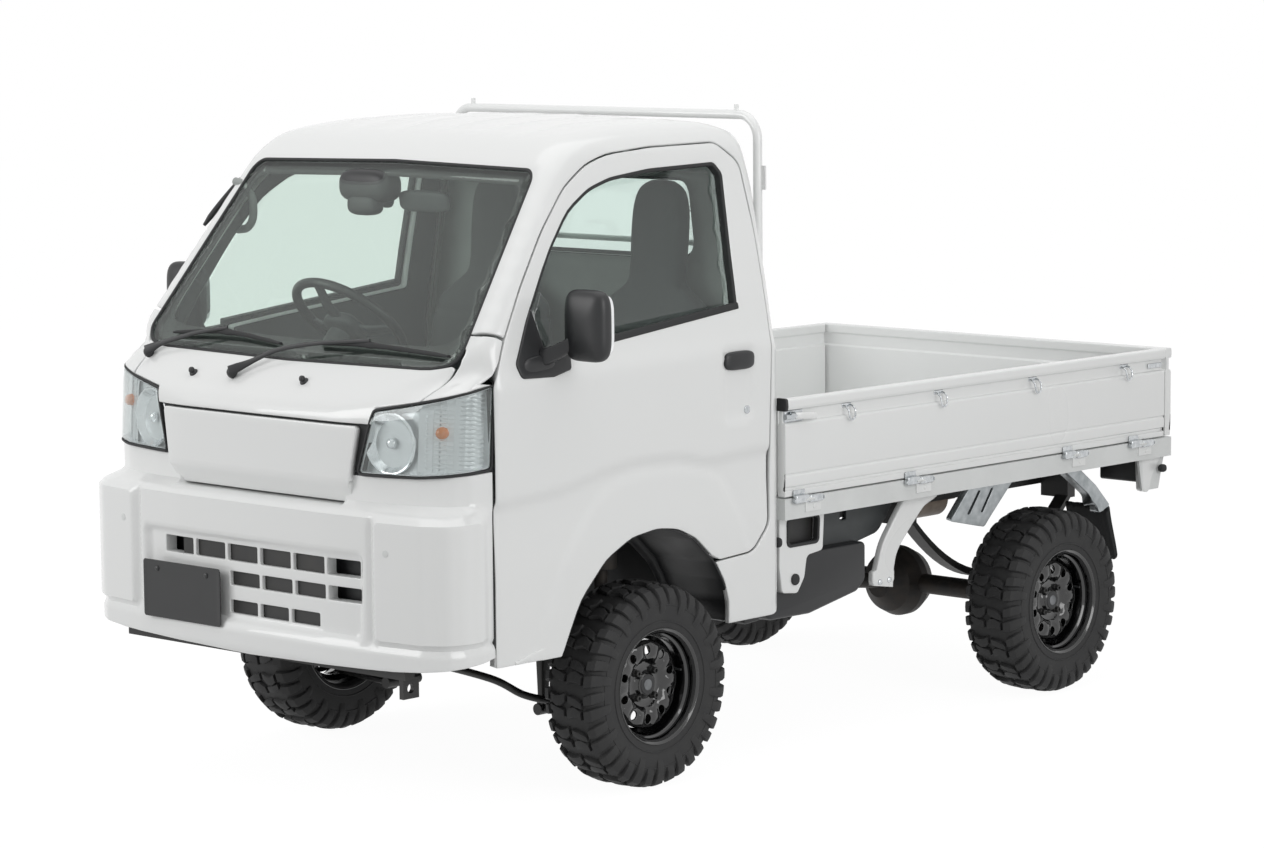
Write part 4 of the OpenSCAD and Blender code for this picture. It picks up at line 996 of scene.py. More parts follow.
def even(rows, count):
    """A smooth curve through the rows (Catmull-Rom), as evenly numbered points."""
    p = np.asarray(rows, float)
    p = np.concatenate([2 * p[:1] - p[1:2], p, 2 * p[-1:] - p[-2:-1]])
    t = np.linspace(0, len(p) - 3 - 1e-9, count)
    i, f = t.astype(int), (t % 1)[:, None]
    a, b, c, d = p[i], p[i + 1], p[i + 2], p[i + 3]
    return 0.5 * (2 * b + (c - a) * f + (2 * a - 5 * b + 4 * c - d) * f ** 2 + (3 * b - a - 3 * c + d) * f ** 3)


def ball_cap(centre, axis, radius, height, turns=32):
    """A low round head: a lathe with a quarter-ellipse profile, closed at its foot."""
    t = np.linspace(0, np.pi / 2, 7)
    profile = np.stack([radius * np.cos(t), height * np.sin(t)], -1)
    profile = np.concatenate([[[0, -2], [radius, -2]], profile])
    return lathe(profile, centre, axis, turns)


def disc(centre, axis, radius, height, edge=1.0, turns=32):
    """A flat round part with rounded edges, closed on both faces."""
    q = np.linspace(0, np.pi / 2, 5)
    top = np.stack([radius - edge + edge * np.cos(q), height - edge + edge * np.sin(q)], -1)
    profile = np.concatenate([[[0, 0], [radius, 0]], top, [[0, height]]])
    return lathe(profile, centre, axis, turns)


print("lofts ready")

# %% [markdown]
# The bumper is one moulding painted with the body. Its plan curve is nearly flat and turns at the
# corners; above the corner pads a shoulder leans back to the lamps. The pads stand proud, the
# grille field is sunk, and thirteen slots open it in three rows.

# %% Bumper
LOW_PLAN = [[0, 3], [300, 5], [474, 17], [655, 42], [712, 75], [733, 125], [734, 190], [717, 251]]
low_curve = rounded([[x, y, 0 if k in (0, 7) else 60] for k, (x, y) in enumerate(LOW_PLAN)], closed=False)
low_s = np.concatenate([[0], np.cumsum(np.linalg.norm(np.diff(low_curve, axis=0), axis=1))])
BUMPER_END = low_s[-1]
top_y = nose_join(nose_line[:, 1], np.full(len(nose_line), 956.0))
top_curve = np.stack([nose_line[:, 0], top_y], -1)[top_y < 253]
top_curve = np.vstack([top_curve, [np.interp(253.0, top_y, nose_line[:, 0]), 253.0]])
top_s = np.concatenate([[0], np.cumsum(np.linalg.norm(np.diff(top_curve, axis=0), axis=1))])
top_s = top_s * BUMPER_END / top_s[-1]
PAD = rounded([[492, 505, 18], [492, 850, 18], [BUMPER_END + 60, 850, 0], [BUMPER_END + 60, 505, 0]])
GRILLE_FIELD = rounded([[-452, 500, 26], [-460, 752, 26], [460, 752, 26], [452, 500, 26]])


def bumper_map(sz):
    """[length along the plan curve, height] to the bumper's face, with its pressed-in shapes."""
    s, z = np.abs(sz[:, 0]), sz[:, 1]
    w = smooth((z - 848) / 36)
    low = np.stack([np.interp(s, low_s, low_curve[:, k]) for k in (0, 1)], -1)
    high = np.stack([np.interp(s, top_s, top_curve[:, k]) for k in (0, 1)], -1)
    p = low + (high - low) * w[:, None]
    ahead_ = np.stack([np.interp(s + 4, low_s, low_curve[:, k]) - np.interp(s - 4, low_s, low_curve[:, k])
                       for k in (0, 1)], -1)
    out = unit(np.stack([ahead_[:, 1], -ahead_[:, 0]], -1))
    flat = np.stack([s, z], -1)
    rise = 11 * pressed(s, z, PAD, 13) * (1 - smooth((s - BUMPER_END + 90) / 70))
    rise = rise - 16 * pressed(sz[:, 0], z, GRILLE_FIELD, 22)
    rise = rise - 7 * smooth(1 - np.abs(s - 482) / 13) * smooth((z - 500) / 20) * (1 - smooth((z - 842) / 16))
    rise = rise + 5 * smooth((498 - z) / 14) * (1 - smooth((440 - z) / 20))
    rise = rise - 5 * smooth(1 - np.abs(z - 505) / 8) * smooth((s - 480) / 12)
    shelf = np.clip(z - 868, 0, None) * smooth((378 - s) / 22)
    p = p + out * rise[:, None] + np.stack([0 * s, 9 + 1.9 * shelf], -1)
    return np.stack([np.sign(sz[:, 0]) * p[:, 0], p[:, 1] + FRONT, z - 0.9 * shelf], -1)


half_line = rounded([[0, 423, 0], [560, 436, 60], [BUMPER_END, 462, 6], [BUMPER_END, 968, 4], [560, 952, 80],
                     [376, 950, 8], [360, 915, 8], [0, 915, 0]])
mirror_line = (half_line * (-1, 1))[::-1]
bumper_outline = np.concatenate([half_line, mirror_line[1:-1]])
GRILLE_ROWS = [[676, 723, -378, 439, 6], [607, 647, -97, 441, 4], [528, 566, -99, 282, 3]]
slots = []
for low_z, high_z, x0, x1, count in GRILLE_ROWS:
    edges = np.linspace(x0, x1, count + 1)
    slots += [rounded([[a + 6, low_z, 5], [a + 6, high_z, 5], [b - 6, high_z, 5], [b - 6, low_z, 5]])
              for a, b in zip(edges[:-1], edges[1:])]
face = panel([bumper_outline], slots, bumper_map, step=10, roll=2.5, flange=34,
             middle=np.array([0, FRONT + 900, 700]))
add_piece("bumper_face", *face, enamel, "chassis", "bumper", closed=False)
print("bumper faces", len(face[1][0]))

plate_outline = rounded([[-435, 488, 9], [-435, 652, 9], [-105, 652, 9], [-105, 488, 9]])


def plate_map(xz):
    """A flat plate whose border and middle stand a little apart, as in an embossed plate."""
    gap = gap_to(xz, plate_outline, np.roll(plate_outline, -1, 0))
    return np.stack([xz[:, 0], FRONT + 1.5 + 1.2 * smooth((gap - 6) / 3), xz[:, 1]], -1)


sheet = panel([plate_outline], [], plate_map, step=9, roll=1.0, flange=1.2, middle=np.array([-270, 0, 570]))
thicken(add_piece("blank_plate", *sheet, plate_black, "chassis", "front_plate", closed=False), 1.0)
bolts = [ball_cap((x, FRONT + 2, 628), (0, -1, 0), 8, 4) for x in (-375, -165)]
add_piece("plate_bolts", *joined(bolts), plate_black)
dots = []
for sign in (1, -1):
    spot, normal = on_surface(bumper_map, np.array([[sign * 545.0, 757.0]]), np.array([0, FRONT + 900, 700]))
    dots.append(disc(spot[0] - normal[0] * 1, normal[0], 10, 2.2, 0.8))
add_piece("parking_sensors", *joined(dots), enamel_dull)

# %% [markdown]
# The garnish is the painted panel between the lamps. It stands a few millimetres proud of the
# cowl with a black gap above it, and its foot is chamfered under. The gap is black because a black
# rubber sheet sits behind it: painted shade.

# %% Garnish
garnish_outline = rounded([[-401, 1086, 12], [401, 1086, 12], [362, 873, 16], [-362, 873, 16]])


def garnish_map(xz):
    """The front map moved 9 mm out, with the lowest 50 mm leaning back in."""
    p = put_front(xz)
    under = smooth((934 - xz[:, 1]) / 20) * np.clip(934 - xz[:, 1], 0, None)
    return p - np.array([0, 1, 0]) * (9 - 0.55 * under)[:, None]


sheet = panel([garnish_outline], [], garnish_map, step=14, roll=4, flange=26)
thicken(add_piece("front_garnish_panel", *sheet, enamel, "chassis", "front_garnish", closed=False), 2.0)
for side_name, sign in (("left", 1), ("right", -1)):
    seam_line = np.array([[257.0, z] for z in np.linspace(470, 1200, 40)]) * 1.0 + (FRONT, 0)
    edging(f"front_seam_seal_{side_name}", seam_line, door_map(sign), 10, 0, seal_rubber, "chassis", sink=4,
           low=-10, closed=False)
# A black rubber sheet behind the garnish is painted shade: it fills the gap above the garnish with black where the gap
# would be dark only from shade.
gap_shade_sheet = panel([rounded([[-440, 1096, 10], [440, 1096, 10], [408, 962, 10], [-408, 962, 10]])], [], front_map,
                 step=40, roll=0, flange=14, sink=12)
add_piece("garnish_gap_seal", *gap_shade_sheet, seal_rubber, closed=False)

# %% [markdown]
# Each lamp is a clear cover over a metallised box: a round bowl with its bulb inside, and an
# outer chamber with flutes behind an amber bulb. A black gasket runs round the cover.

# %% Headlamps
LAMP_ROWS = [[449, 1131, 10], [NOSE_END - 6, 1199, 8], [NOSE_END - 6, 975, 14], [610, 960, 200], [397, 957, 10]]


def lamp_place(sz):
    """[length along the nose's plan, height] to the lamp's cover."""
    x, y = (np.interp(sz[:, 0], nose_s, nose_line[:, k]) for k in (0, 1))
    return np.stack([x, FRONT + nose_join(y, sz[:, 1]), sz[:, 1]], -1)


def fluted(sz):
    """The lamp's back: plain behind the bowl, with upright half-round flutes further out."""
    wave = 5 * np.abs(np.sin(sz[:, 0] * np.pi / 22)) * smooth((sz[:, 0] - 592) / 6)
    return lamp_place(sz) + np.array([0.45, -0.89, 0]) * wave[:, None]


for side_name, sign in (("left", 1), ("right", -1)):
    flip = np.array([sign, 1, 1.0])

    def lamp_map(xz, flip=flip):
        return lamp_place(xz) * flip

    def lamp_back(xz, flip=flip):
        return fluted(xz) * flip

    outline = rounded(LAMP_ROWS)
    middle = np.array([0, -600.0, 1000])
    cover = panel([grown(outline, -2)], [], lamp_map, step=22, roll=6, flange=8, middle=middle)
    thicken(add_piece(f"lamp_cover_{side_name}", *cover, lamp_clear, "chassis", "headlamp_" + side_name,
                      closed=False), 2.5)
    back = panel([grown(outline, -4)], [], lamp_back, step=7, roll=0, flange=0, sink=34, middle=middle)
    add_piece(f"lamp_back_{side_name}", *back, lamp_flutes, closed=False)
    p, n = on_surface(lamp_map, dense(grown(outline, -4), 14), middle)
    wall_form = moulding(p, n, [[-1, -48], [-1, -7], [1, -7], [1, -48]])
    add_piece(f"lamp_wall_{side_name}", *wall_form, lamp_flutes)
    edging(f"lamp_gasket_{side_name}", grown(outline, 1.5), lamp_map, 6.5, 0.5, seal_rubber, "chassis", low=-26)
    look = unit(np.array([0.16 * sign, -1, 0]))
    mouth, = lamp_place(np.array([[499.0, 1043.0]])) * flip
    mouth = mouth - look * 15
    r = np.linspace(0.0, 79, 16)
    bowl = np.stack([r, -52 + 52 * (r / 79) ** 2], -1)
    bowl = np.concatenate([bowl, [[83, 1], [86, -2], [86, -6]], bowl[::-1] - (0, 3)])
    add_piece(f"lamp_bowl_{side_name}", *lathe(bowl, mouth, look, 64), mirror_metal)
    t = np.linspace(0, np.pi / 2, 8)
    bulb = np.concatenate([[[0, -50], [9, -50]], np.stack([9 * np.cos(t), -12 + 9 * np.sin(t)], -1)])
    add_piece(f"lamp_bulb_{side_name}", *lathe(bulb, mouth, look, 24), clear_lens_back)
    cap = np.concatenate([[[0, -12], [15, -14]], np.stack([15 * np.cos(t), -9 + 12 * np.sin(t)], -1)])
    add_piece(f"lamp_bulb_shield_{side_name}", *lathe(cap, mouth, look, 24), mirror_metal)
    place_, = lamp_place(np.array([[662.0, 1078.0]])) * flip
    out = unit(np.array([0.35 * sign, -1, 0]))
    add_piece(f"turn_bulb_{side_name}", *pillow(place_ - out * 27, (17, 17, 22), 2.4, 2.0,
              (np.cross(out, (0, 0, 1)), (0, 0, 1), out)), amber)
print("lamps made")

# %% [markdown]
# The tyre is a carcass turned about the axle, and an open tread of chevron lugs moulded with it.
# Every lug is a low block whose outline bends along the tread: it starts at the middle, sweeps
# out and wraps over the shoulder. All lugs are one array, a pitch repeated round the wheel.

# %% Tyres
TYRE_R = 294.0
TYRE_HALF = 100.0
PITCHES = 18
ring_side = even([[153, 79], [158, 88], [170, 92], [190, 94.5], [215, 97], [236, 96.5], [252, 91], [266, 83],
                  [275, 72], [279, 50], [280.5, 25], [281, 0]], 44)
carcass = np.concatenate([ring_side, (ring_side * (1, -1))[::-1][1:]])
inner = np.array([[150, -70], [149, -40], [149, 40], [150, 70]], float)
carcass = np.concatenate([carcass, inner])
bead_rings = (200, 206, 226)


def over_tread(angle, across, lift):
    """A place on the tread: angle round the wheel, way across it, height above the carcass. The
    carcass curve gives radius and width at each way across; beyond the shoulder it runs down the
    sidewall."""
    half = ring_side[::-1]
    arc = np.concatenate([[0], np.cumsum(np.linalg.norm(np.diff(half, axis=0), axis=1))])
    a = np.abs(across)
    r, w = np.interp(a, arc, half[:, 0]), np.interp(a, arc, half[:, 1])
    r2, w2 = np.interp(a + 2, arc, half[:, 0]), np.interp(a + 2, arc, half[:, 1])
    run = np.stack([r2 - r, w2 - w], -1)
    out = unit(np.stack([run[..., 1], -run[..., 0]], -1))
    r, w = r + out[..., 0] * lift, (w + out[..., 1] * lift) * np.where(across < 0, -1, 1)
    return np.stack([w, r * np.sin(angle), r * np.cos(angle)], -1)


# each lug: rows of [way across, bend round the wheel, half length round the wheel, height]
LUGS = [
    (0.00, [[3, 0, 13, 9], [18, 10, 17, 12], [36, 12, 16, 12.5], [54, 2, 13, 12]]),
    (0.02, [[64, -2, 17, 12], [80, 2, 19, 12.5], [98, 6, 18, 11], [116, 8, 16, 7.5], [134, 8, 15, 4.5],
            [148, 8, 13, 0.4]]),
    (0.52, [[66, -6, 14, 12], [82, -1, 17, 12.5], [97, 3, 17, 10], [112, 5, 16, 6.5], [126, 6, 14, 0.4]]),
    (0.50, [[9, -4, 11, 9], [26, -8, 13, 12], [44, -14, 12, 12], [57, -20, 9, 11]]),
]


def tread(sign_side):
    """All lugs of one half of the tyre. Each row of a lug has a foot, a wall and a top edge on both
    sides, so its walls stand and its top is nearly flat."""
    points, faces, count = [], [], 0
    turn = np.arange(PITCHES) * 2 * np.pi / PITCHES
    for shift, rows in LUGS:
        rows = np.asarray(rows, float)
        rows = np.concatenate([rows[:1], rows, rows[-1:]])
        rows[0, 3] = rows[-1, 3] = -2
        ends = np.array([[-2.0], [0.0]])
        rows[0, 0] -= 1.5
        rows[-1, 0] += 1.5
        wide = np.array([-1.12, -1.0, -0.86, 0.0, 0.86, 1.0, 1.12])
        high = np.array([-2.0, 0.72, 1.0, 1.04, 1.0, 0.72, -2.0])
        lift = np.where(high < 0, -2.0, rows[:, 3:4] * high)
        around = (rows[:, 1:2] + rows[:, 2:3] * wide) / TYRE_R
        start = shift * 2 * np.pi / PITCHES + (0.5 * 2 * np.pi / PITCHES if sign_side < 0 else 0)
        angle = turn[:, None, None] + around[None] * sign_side + start
        across = np.broadcast_to(rows[None, :, :1] * sign_side, angle.shape)
        p = over_tread(angle, across, np.broadcast_to(lift[None], angle.shape))
        n, m = len(rows), len(wide)
        one = grid_faces(n, m)
        caps = [np.arange(m)[::-1], np.arange(m) + (n - 1) * m]
        base = np.arange(PITCHES)[:, None, None] * n * m + count
        faces.append((one[None] + base).reshape(-1, 4))
        faces.append((np.array(caps)[None] + base).reshape(-1, m))
        faces.append((np.stack([np.arange(n - 1) * m, np.arange(n - 1) * m + m - 1,
                                np.arange(1, n) * m + m - 1, np.arange(1, n) * m], -1)[None] + base).reshape(-1, 4))
        points.append(p.reshape(-1, 3))
        count += p.size // 3
    return np.concatenate(points), faces


bar_angle = np.arange(46) * 2 * np.pi / 46
WHEELS = (("front_left", 1, -801.5), ("front_right", -1, -801.5), ("rear_left", 1, 1098.5), ("rear_right", -1, 1098.5))


def side_rings():
    """Two thin moulded rings on each sidewall."""
    out = []
    for s in (1, -1):
        for radius, bulge in ((186, 1.8), (232, 1.5)):
            w = np.interp(radius, ring_side[:22, 0], ring_side[:22, 1])
            path = np.stack([np.full(120, s * w), radius * np.cos(np.linspace(0, 2 * np.pi, 120, endpoint=False)),
                             radius * np.sin(np.linspace(0, 2 * np.pi, 120, endpoint=False))], -1)
            out.append(tube(path, bulge * 1.3, 8, (1, 0, 0), closed=True))
    return joined(out)


for wheel_name, sign, y in WHEELS:
    centre = np.array([sign * 645.0, y, 294.5])
    body = "wheel_" + wheel_name
    add_piece(f"tyre_{wheel_name}_carcass", *lathe(carcass, centre, (sign, 0, 0), 120), tyre_rubber, body,
              "tyre_" + wheel_name)
    for half_name, half_sign in (("outer", 1), ("inner", -1)):
        p, f = tread(half_sign)
        add_piece(f"tyre_{wheel_name}_{half_name}_lugs", p * (sign, 1, 1) + centre, f, tyre_rubber, body, crease=30)
    p, f = side_rings()
    add_piece(f"tyre_{wheel_name}_rings", p + centre, f, tyre_rubber, body)
print("lugs", PITCHES * len(LUGS) * 2, "a tyre")

# %% [markdown]
# The steel wheel is a rolled barrel with a pressed disc. The disc has a raised ring with ten oval
# holes, falls to a flat where four nuts sit, and rises to the hub hole with its plain cap.

# %% Steel wheels
BARREL = rounded([[167, 92, 2], [167, 86, 2], [160, 84, 3], [157, 62, 6], [147, 56, 6], [143, 20, 8], [131, 8, 8],
                  [131, -30, 8], [146, -44, 8], [156, -62, 6], [160, -84, 3], [167, -86, 2], [167, -92, 2],
                  [164, -92, 2], [155, -80, 4], [142, -46, 8], [127, -30, 8], [127, 10, 8], [139, 24, 8],
                  [143, 58, 6], [153, 66, 6], [157, 88, 3], [164, 94, 3]])
DISC = even([[128, 20], [126, 38], [118, 47], [108, 50], [96, 51], [84, 49], [74, 43], [66, 32], [60, 29], [44, 29],
             [38, 32], [33, 40], [30, 44], [27, 45]], 60)
HOLES = 10


def disc_map(sign, centre):
    """[flat x, flat y] over the wheel's face: the radius gives the height along the axle. Round each
    hole the sheet is pressed in a little."""
    def place(ab):
        radius = np.linalg.norm(ab, axis=1)
        along = np.interp(radius, DISC[::-1, 0], DISC[::-1, 1])
        angle = np.arctan2(ab[:, 1], ab[:, 0])
        near = np.abs((angle * HOLES / (2 * np.pi)) % 1 - 0.5) * 2 * np.pi / HOLES * 99
        lip = np.hypot((radius - 99) / 21, near / 17)
        along = along - 4.5 * smooth((1.45 - lip) / 0.45)
        return centre + np.stack([sign * along, ab[:, 0], ab[:, 1]], -1)
    return place


t = np.linspace(0, 2 * np.pi, 22, endpoint=False)
hole_list = []
for k in range(HOLES):
    turn = (k + 0.5) * 2 * np.pi / HOLES
    spot = np.array([99 + 14.5 * np.cos(t), 11.5 * np.sin(t)])
    hole_list.append(np.stack([spot[0] * np.cos(turn) - spot[1] * np.sin(turn),
                               spot[0] * np.sin(turn) + spot[1] * np.cos(turn)], -1))
ring_t = np.linspace(0, 2 * np.pi, 90, endpoint=False)
disc_outline = np.stack([np.cos(ring_t), np.sin(ring_t)], -1) * 127.5
hub_hole = np.stack([np.cos(ring_t[::3]), np.sin(ring_t[::3])], -1) * 28
NUT_R = 50.0
for wheel_name, sign, y in WHEELS:
    centre = np.array([sign * 645.0, y, 294.5])
    body = "wheel_" + wheel_name
    axis = (sign, 0, 0)
    add_piece(f"rim_{wheel_name}_barrel", *lathe(BARREL, centre, axis, 120), rim_coat, body, "rim_" + wheel_name)
    face = panel([disc_outline], hole_list + [hub_hole], disc_map(sign, centre), step=6.5, roll=1.5, flange=4,
                 middle=centre - np.array([sign * 900, 0, 0]))
    add_piece(f"rim_{wheel_name}_disc", *face, rim_coat, body, closed=False)
    well = [[30, 44], [33, 41], [33, 20], [29, 20], [29, 44]]
    add_piece(f"rim_{wheel_name}_hub_tube", *lathe(well, centre, axis, 40), rim_coat, body)
    cap = disc(centre + np.array([sign * 38.0, 0, 0]), axis, 28, 8, 2, 40)
    badge = disc(centre + np.array([sign * 45.5, 0, 0]), axis, 16, 2, 1, 40)
    add_piece(f"rim_{wheel_name}_cap", *cap, black_moulded, body)
    add_piece(f"rim_{wheel_name}_cap_face", *badge, alloy, body)
    nuts = []
    for k in range(4):
        turn = k * np.pi / 2 + np.pi / 4
        spot = centre + np.array([sign * 28.0, NUT_R * np.cos(turn), NUT_R * np.sin(turn)])
        nuts.append(lathe([[0, 0], [12.5, 0], [11, 5], [10, 6], [10, 16], [8.5, 18], [5, 18.5], [5, 14], [0, 14]],
                          spot, axis, 6))
    add_piece(f"rim_{wheel_name}_nuts", *joined(nuts), chassis_black, body, crease=25)
    valve = [tube(centre + np.array([[sign * 30, 121, 30], [sign * 52, 118, 29], [sign * 66, 117, 29]]), [4, 3.4, 3.2], 10)]
    add_piece(f"rim_{wheel_name}_valve", *joined(valve), seal_rubber, body)
print("wheels made")

# %% [markdown]
# Small parts outside the cab: moulded mirrors on arms, door handles in their dishes, wiper arms
# with jointed blades, and two washer nozzles.

# %% Outer fittings
for side_name, sign in (("left", 1), ("right", -1)):
    s3 = np.array([sign, 1, 1.0])
    body = "door_" + side_name
    head = pillow(np.array([829, -1176, 1349]) * s3, (75, 98, 36), 2.7, 4.6, ((1, 0, 0), (0, 0, 1), (0, 1, 0)), 30, 64)
    add_piece(f"mirror_{side_name}_shell", *head, black_moulded, body, "mirror_" + side_name)
    glass_ = pillow(np.array([829, -1149, 1349]) * s3, (64, 86, 12), 8, 4.6, ((1, 0, 0), (0, 0, 1), (0, 1, 0)), 14, 64)
    add_piece(f"mirror_{side_name}_glass", *glass_, mirror_metal, body)
    arm = even([[722, -1236, 1262], [742, -1230, 1270], [768, -1208, 1286], [792, -1188, 1306]], 14) * s3
    size = np.linspace(1, 0.72, 14)[:, None]
    add_piece(f"mirror_{side_name}_arm", *loft(arm, size * (0, 20, 0), size * (0, 0, 26), 3.0, 28), black_moulded, body)
    foot = pillow(np.array([722, -1258, 1244]) * s3, (60, 24, 9), 3, 3.4, ((0, 1, 0.1), (0, -0.1, 1), (1, 0, 0)))
    add_piece(f"mirror_{side_name}_foot", *foot, black_moulded, body)
    y, z = -447.0, 1190.0
    x = float(skin_x(np.array([y]), np.array([z]))[0])
    grip = pillow(np.array([x - 4, y, z]) * s3, (63, 27, 13), 2.6, 3.6, ((0, 1, 0), (0, 0, 1), (1, 0, 0)))
    add_piece(f"door_handle_{side_name}", *grip, black_moulded, body)
    lock_x = float(skin_x(np.array([-411.0]), np.array([1045.0]))[0]) - 8.5
    add_piece(f"door_lock_{side_name}", *disc(np.array([lock_x, -411, 1045]) * s3, (sign, 0, 0), 12, 4, 1.5), zinc, body)


def on_front(xz, lift):
    """Points a set distance in front of the cab's front skin."""
    p, n = on_surface(front_map, np.asarray(xz, float), CAB_MIDDLE)
    return p + n * np.reshape(lift, (-1, 1))


for k, (arm_rows, blade_rows) in enumerate((
        ([[-569, 1216], [-520, 1236], [-400, 1268], [-292, 1290]], [[-520, 1272], [-292, 1283], [-60, 1267]]),
        ([[-166, 1180], [-120, 1204], [-30, 1240], [120, 1268], [300, 1288]], [[90, 1276], [300, 1281], [610, 1272]]))):
    lift = [22, 20, 26, 21] if k == 0 else [22, 20, 26, 28, 21]
    line = even(on_front(arm_rows, lift), 40)
    ahead_ = unit(np.gradient(line, axis=0))
    up_ = unit(np.cross(ahead_, (0, 1, 0)))
    deep = unit(np.cross(ahead_, up_))
    taper = np.interp(np.linspace(0, 1, 40), [0, 0.12, 0.3, 1], [15, 13, 7.5, 5])[:, None]
    arm = loft(line, up_ * taper, deep * taper * 0.55, 3.0, 20)
    hub = ball_cap(line[0] - (0, -12, 6), (0, -0.9, 0.45), 17, 20)
    blade_line = even(on_front(blade_rows, [9, 12, 9]), 60)
    ahead_ = unit(np.gradient(blade_line, axis=0))
    up_ = unit(np.cross(ahead_, (0, 1, 0)))
    deep = unit(np.cross(ahead_, up_))
    bow = np.interp(np.linspace(0, 1, 60), [0, 0.06, 0.45, 0.5, 0.55, 0.94, 1], [4, 7, 9, 13, 9, 7, 4])[:, None]
    blade = loft(blade_line, up_ * bow * 0.8, deep * np.full((60, 1), 6.5), 3.0, 16)
    rubber_ = loft(blade_line - deep * 0 + (blade_line * 0 + (0, 6, -3)), up_ * 2.0 + blade_line * 0, deep * 4.0, 3.0, 12)
    add_piece(f"wiper_{k + 1}_arm", *joined([arm, hub]), black_moulded, stands_for=("wipers",) if k == 0 else ())
    add_piece(f"wiper_{k + 1}_blade", *joined([blade, rubber_]), seal_rubber)
jets = []
for x, z in ((-337, 1179), (122, 1184)):
    spot = on_front([[x, z]], [0])[0]
    jets += [ball_cap(spot, (0, -0.6, 0.8), 13, 8), pillow(spot + (0, -8, 8), (8, 8, 9), 2.5, 2.5)]
add_piece("washer_jets", *joined(jets), black_moulded)
strip = even([[-728, -1190, 1560], [-712, -1150, 1612], [-690, -1104, 1668], [-668, -1066, 1712]], 20)
add_piece("pillar_strip_right", *tube(strip, np.interp(np.arange(20), [0, 3, 16, 19], [5, 9, 9, 4]), 12), black_moulded,
          "door_right")
print("outer fittings made")

# %% [markdown]
# Inside the cab: a one-piece dash with a hood over the dials, the steering wheel with three
# spokes, a camera unit and mirror behind the screen, and a grip on the pillar.

# %% Cab interior
dash_x = np.linspace(-636, 636, 70)
dash_rows = rounded([[-1484, 1006, 10], [-1484, 1228, 14], [-1440, 1238, 20], [-1300, 1212, 40], [-1264, 1180, 14],
                     [-1270, 1112, 10], [-1300, 1096, 8], [-1296, 1046, 10], [-1330, 1004, 10]])
hood = np.exp(-((dash_x + 330) / 135.0) ** 4)[:, None]
rear = smooth((dash_rows[:, 0] + 1420) / 120)[None] * smooth((dash_rows[:, 1] - 1130) / 60)[None]
end = smooth((640 - np.abs(dash_x)) / 26)[:, None]
mid_y, mid_z = -1380.0, 1120.0
dy = mid_y + (dash_rows[None, :, 0] - mid_y) * (0.86 + 0.14 * end) + 16 * hood * rear
dz = mid_z + (dash_rows[None, :, 1] - mid_z) * (0.86 + 0.14 * end) + 38 * hood * rear
pts = np.stack([np.broadcast_to(dash_x[:, None], dy.shape), dy, dz], -1).reshape(-1, 3)
n = len(dash_rows)
ends = np.array([np.arange(n)[::-1], np.arange(n) + (len(dash_x) - 1) * n])
add_piece("dash_moulding", pts, [grid_faces(len(dash_x), n, wrap_columns=True), ends], dash_abs, stands_for="dashboard")
vents = []
for x in (-560, -110, 60, 560):
    vents.append(disc((x, -1272, 1146), (0, 1, -0.08), 38, 9, 3, 40))
    vents.append(disc((x, -1264, 1145), (0, 1, -0.08), 29, 5, 2, 40))
add_piece("dash_vents", *joined(vents), black_moulded)
radio = [soft_box((-60, -1290, 1052), (120, -1268, 1104), 5), soft_box((180, -1292, 1022), (500, -1280, 1098), 8)]
add_piece("dash_radio_and_lid", *joined(radio), black_moulded)

HUB = np.array([-330, -977.5, 1285])
tilt = math.radians(42)
shaft = np.array([0, math.sin(tilt), math.cos(tilt)])
across = np.array([1.0, 0, 0])
upward = np.cross(shaft, across)
t = np.linspace(0, 2 * np.pi, 96, endpoint=False)[:, None]
ring = HUB + 178 * (np.cos(t) * across + np.sin(t) * upward)
parts = [tube(ring, 14.5, 18, shaft, closed=True)]
add_piece("steering_rim", *joined(parts), black_moulded, "steering_wheel", "steering_wheel")
spokes = [pillow(HUB - shaft * 26, (66, 56, 26), 3, 3, (across, upward, shaft))]
for turn in (math.radians(8), math.radians(172), math.radians(270)):
    way = math.cos(turn) * across + math.sin(turn) * upward
    line = even([HUB - shaft * 24 + way * 40, HUB - shaft * 22 + way * 95, HUB - shaft * 8 + way * 140, HUB + way * 172], 16)
    wide = np.cross(shaft, way)
    taper = np.linspace(24, 13, 16)[:, None]
    spokes.append(loft(line, wide * taper, shaft * np.full((16, 1), 8.0), 3, 20))
add_piece("steering_spokes", *joined(spokes), dash_abs, "steering_wheel")

unit_y = float(skin_y(np.array([-100.0]), np.array([1690.0]), 900)[0])
unit_parts = [pillow((-100, unit_y + 60, 1694), (104, 44, 50), 3, 4, ((1, 0, 0), (0, 1, 0), (0, 0, 1))),
              pillow((-100, unit_y + 40, 1640), (60, 26, 30), 3, 4),
              pillow((-40, unit_y + 70, 1662), (10, 24, 30), 3, 3)]
add_piece("screen_camera_unit", *joined(unit_parts), black_moulded)
add_piece("inner_mirror", *pillow((92, unit_y + 92, 1654), (102, 13, 31), 4, 3, ((1, 0, 0), (0, 1, 0.15), (0, -0.15, 1))),
          dash_abs)
grip_y = float(skin_y(np.array([-590.0]), np.array([1600.0]), 900)[0])
grip = even([[-628, grip_y + 80, 1692], [-590, grip_y + 78, 1684], [-562, grip_y + 84, 1650], [-566, grip_y + 92, 1590],
             [-596, grip_y + 96, 1556], [-640, grip_y + 96, 1548]], 40)
add_piece("pillar_grip", *tube(grip, 12, 16, (0, 1, 0)), trim_grey)
visor = pillow((-330, -985, 1762), (180, 60, 8), 4, 5, ((1, 0, 0), (0, 1, 0.06), (0, -0.06, 1)))
visor2 = pillow((330, -985, 1762), (180, 60, 8), 4, 5, ((1, 0, 0), (0, 1, 0.06), (0, -0.06, 1)))
add_piece("sun_visors", *joined([visor, visor2]), trim_grey)

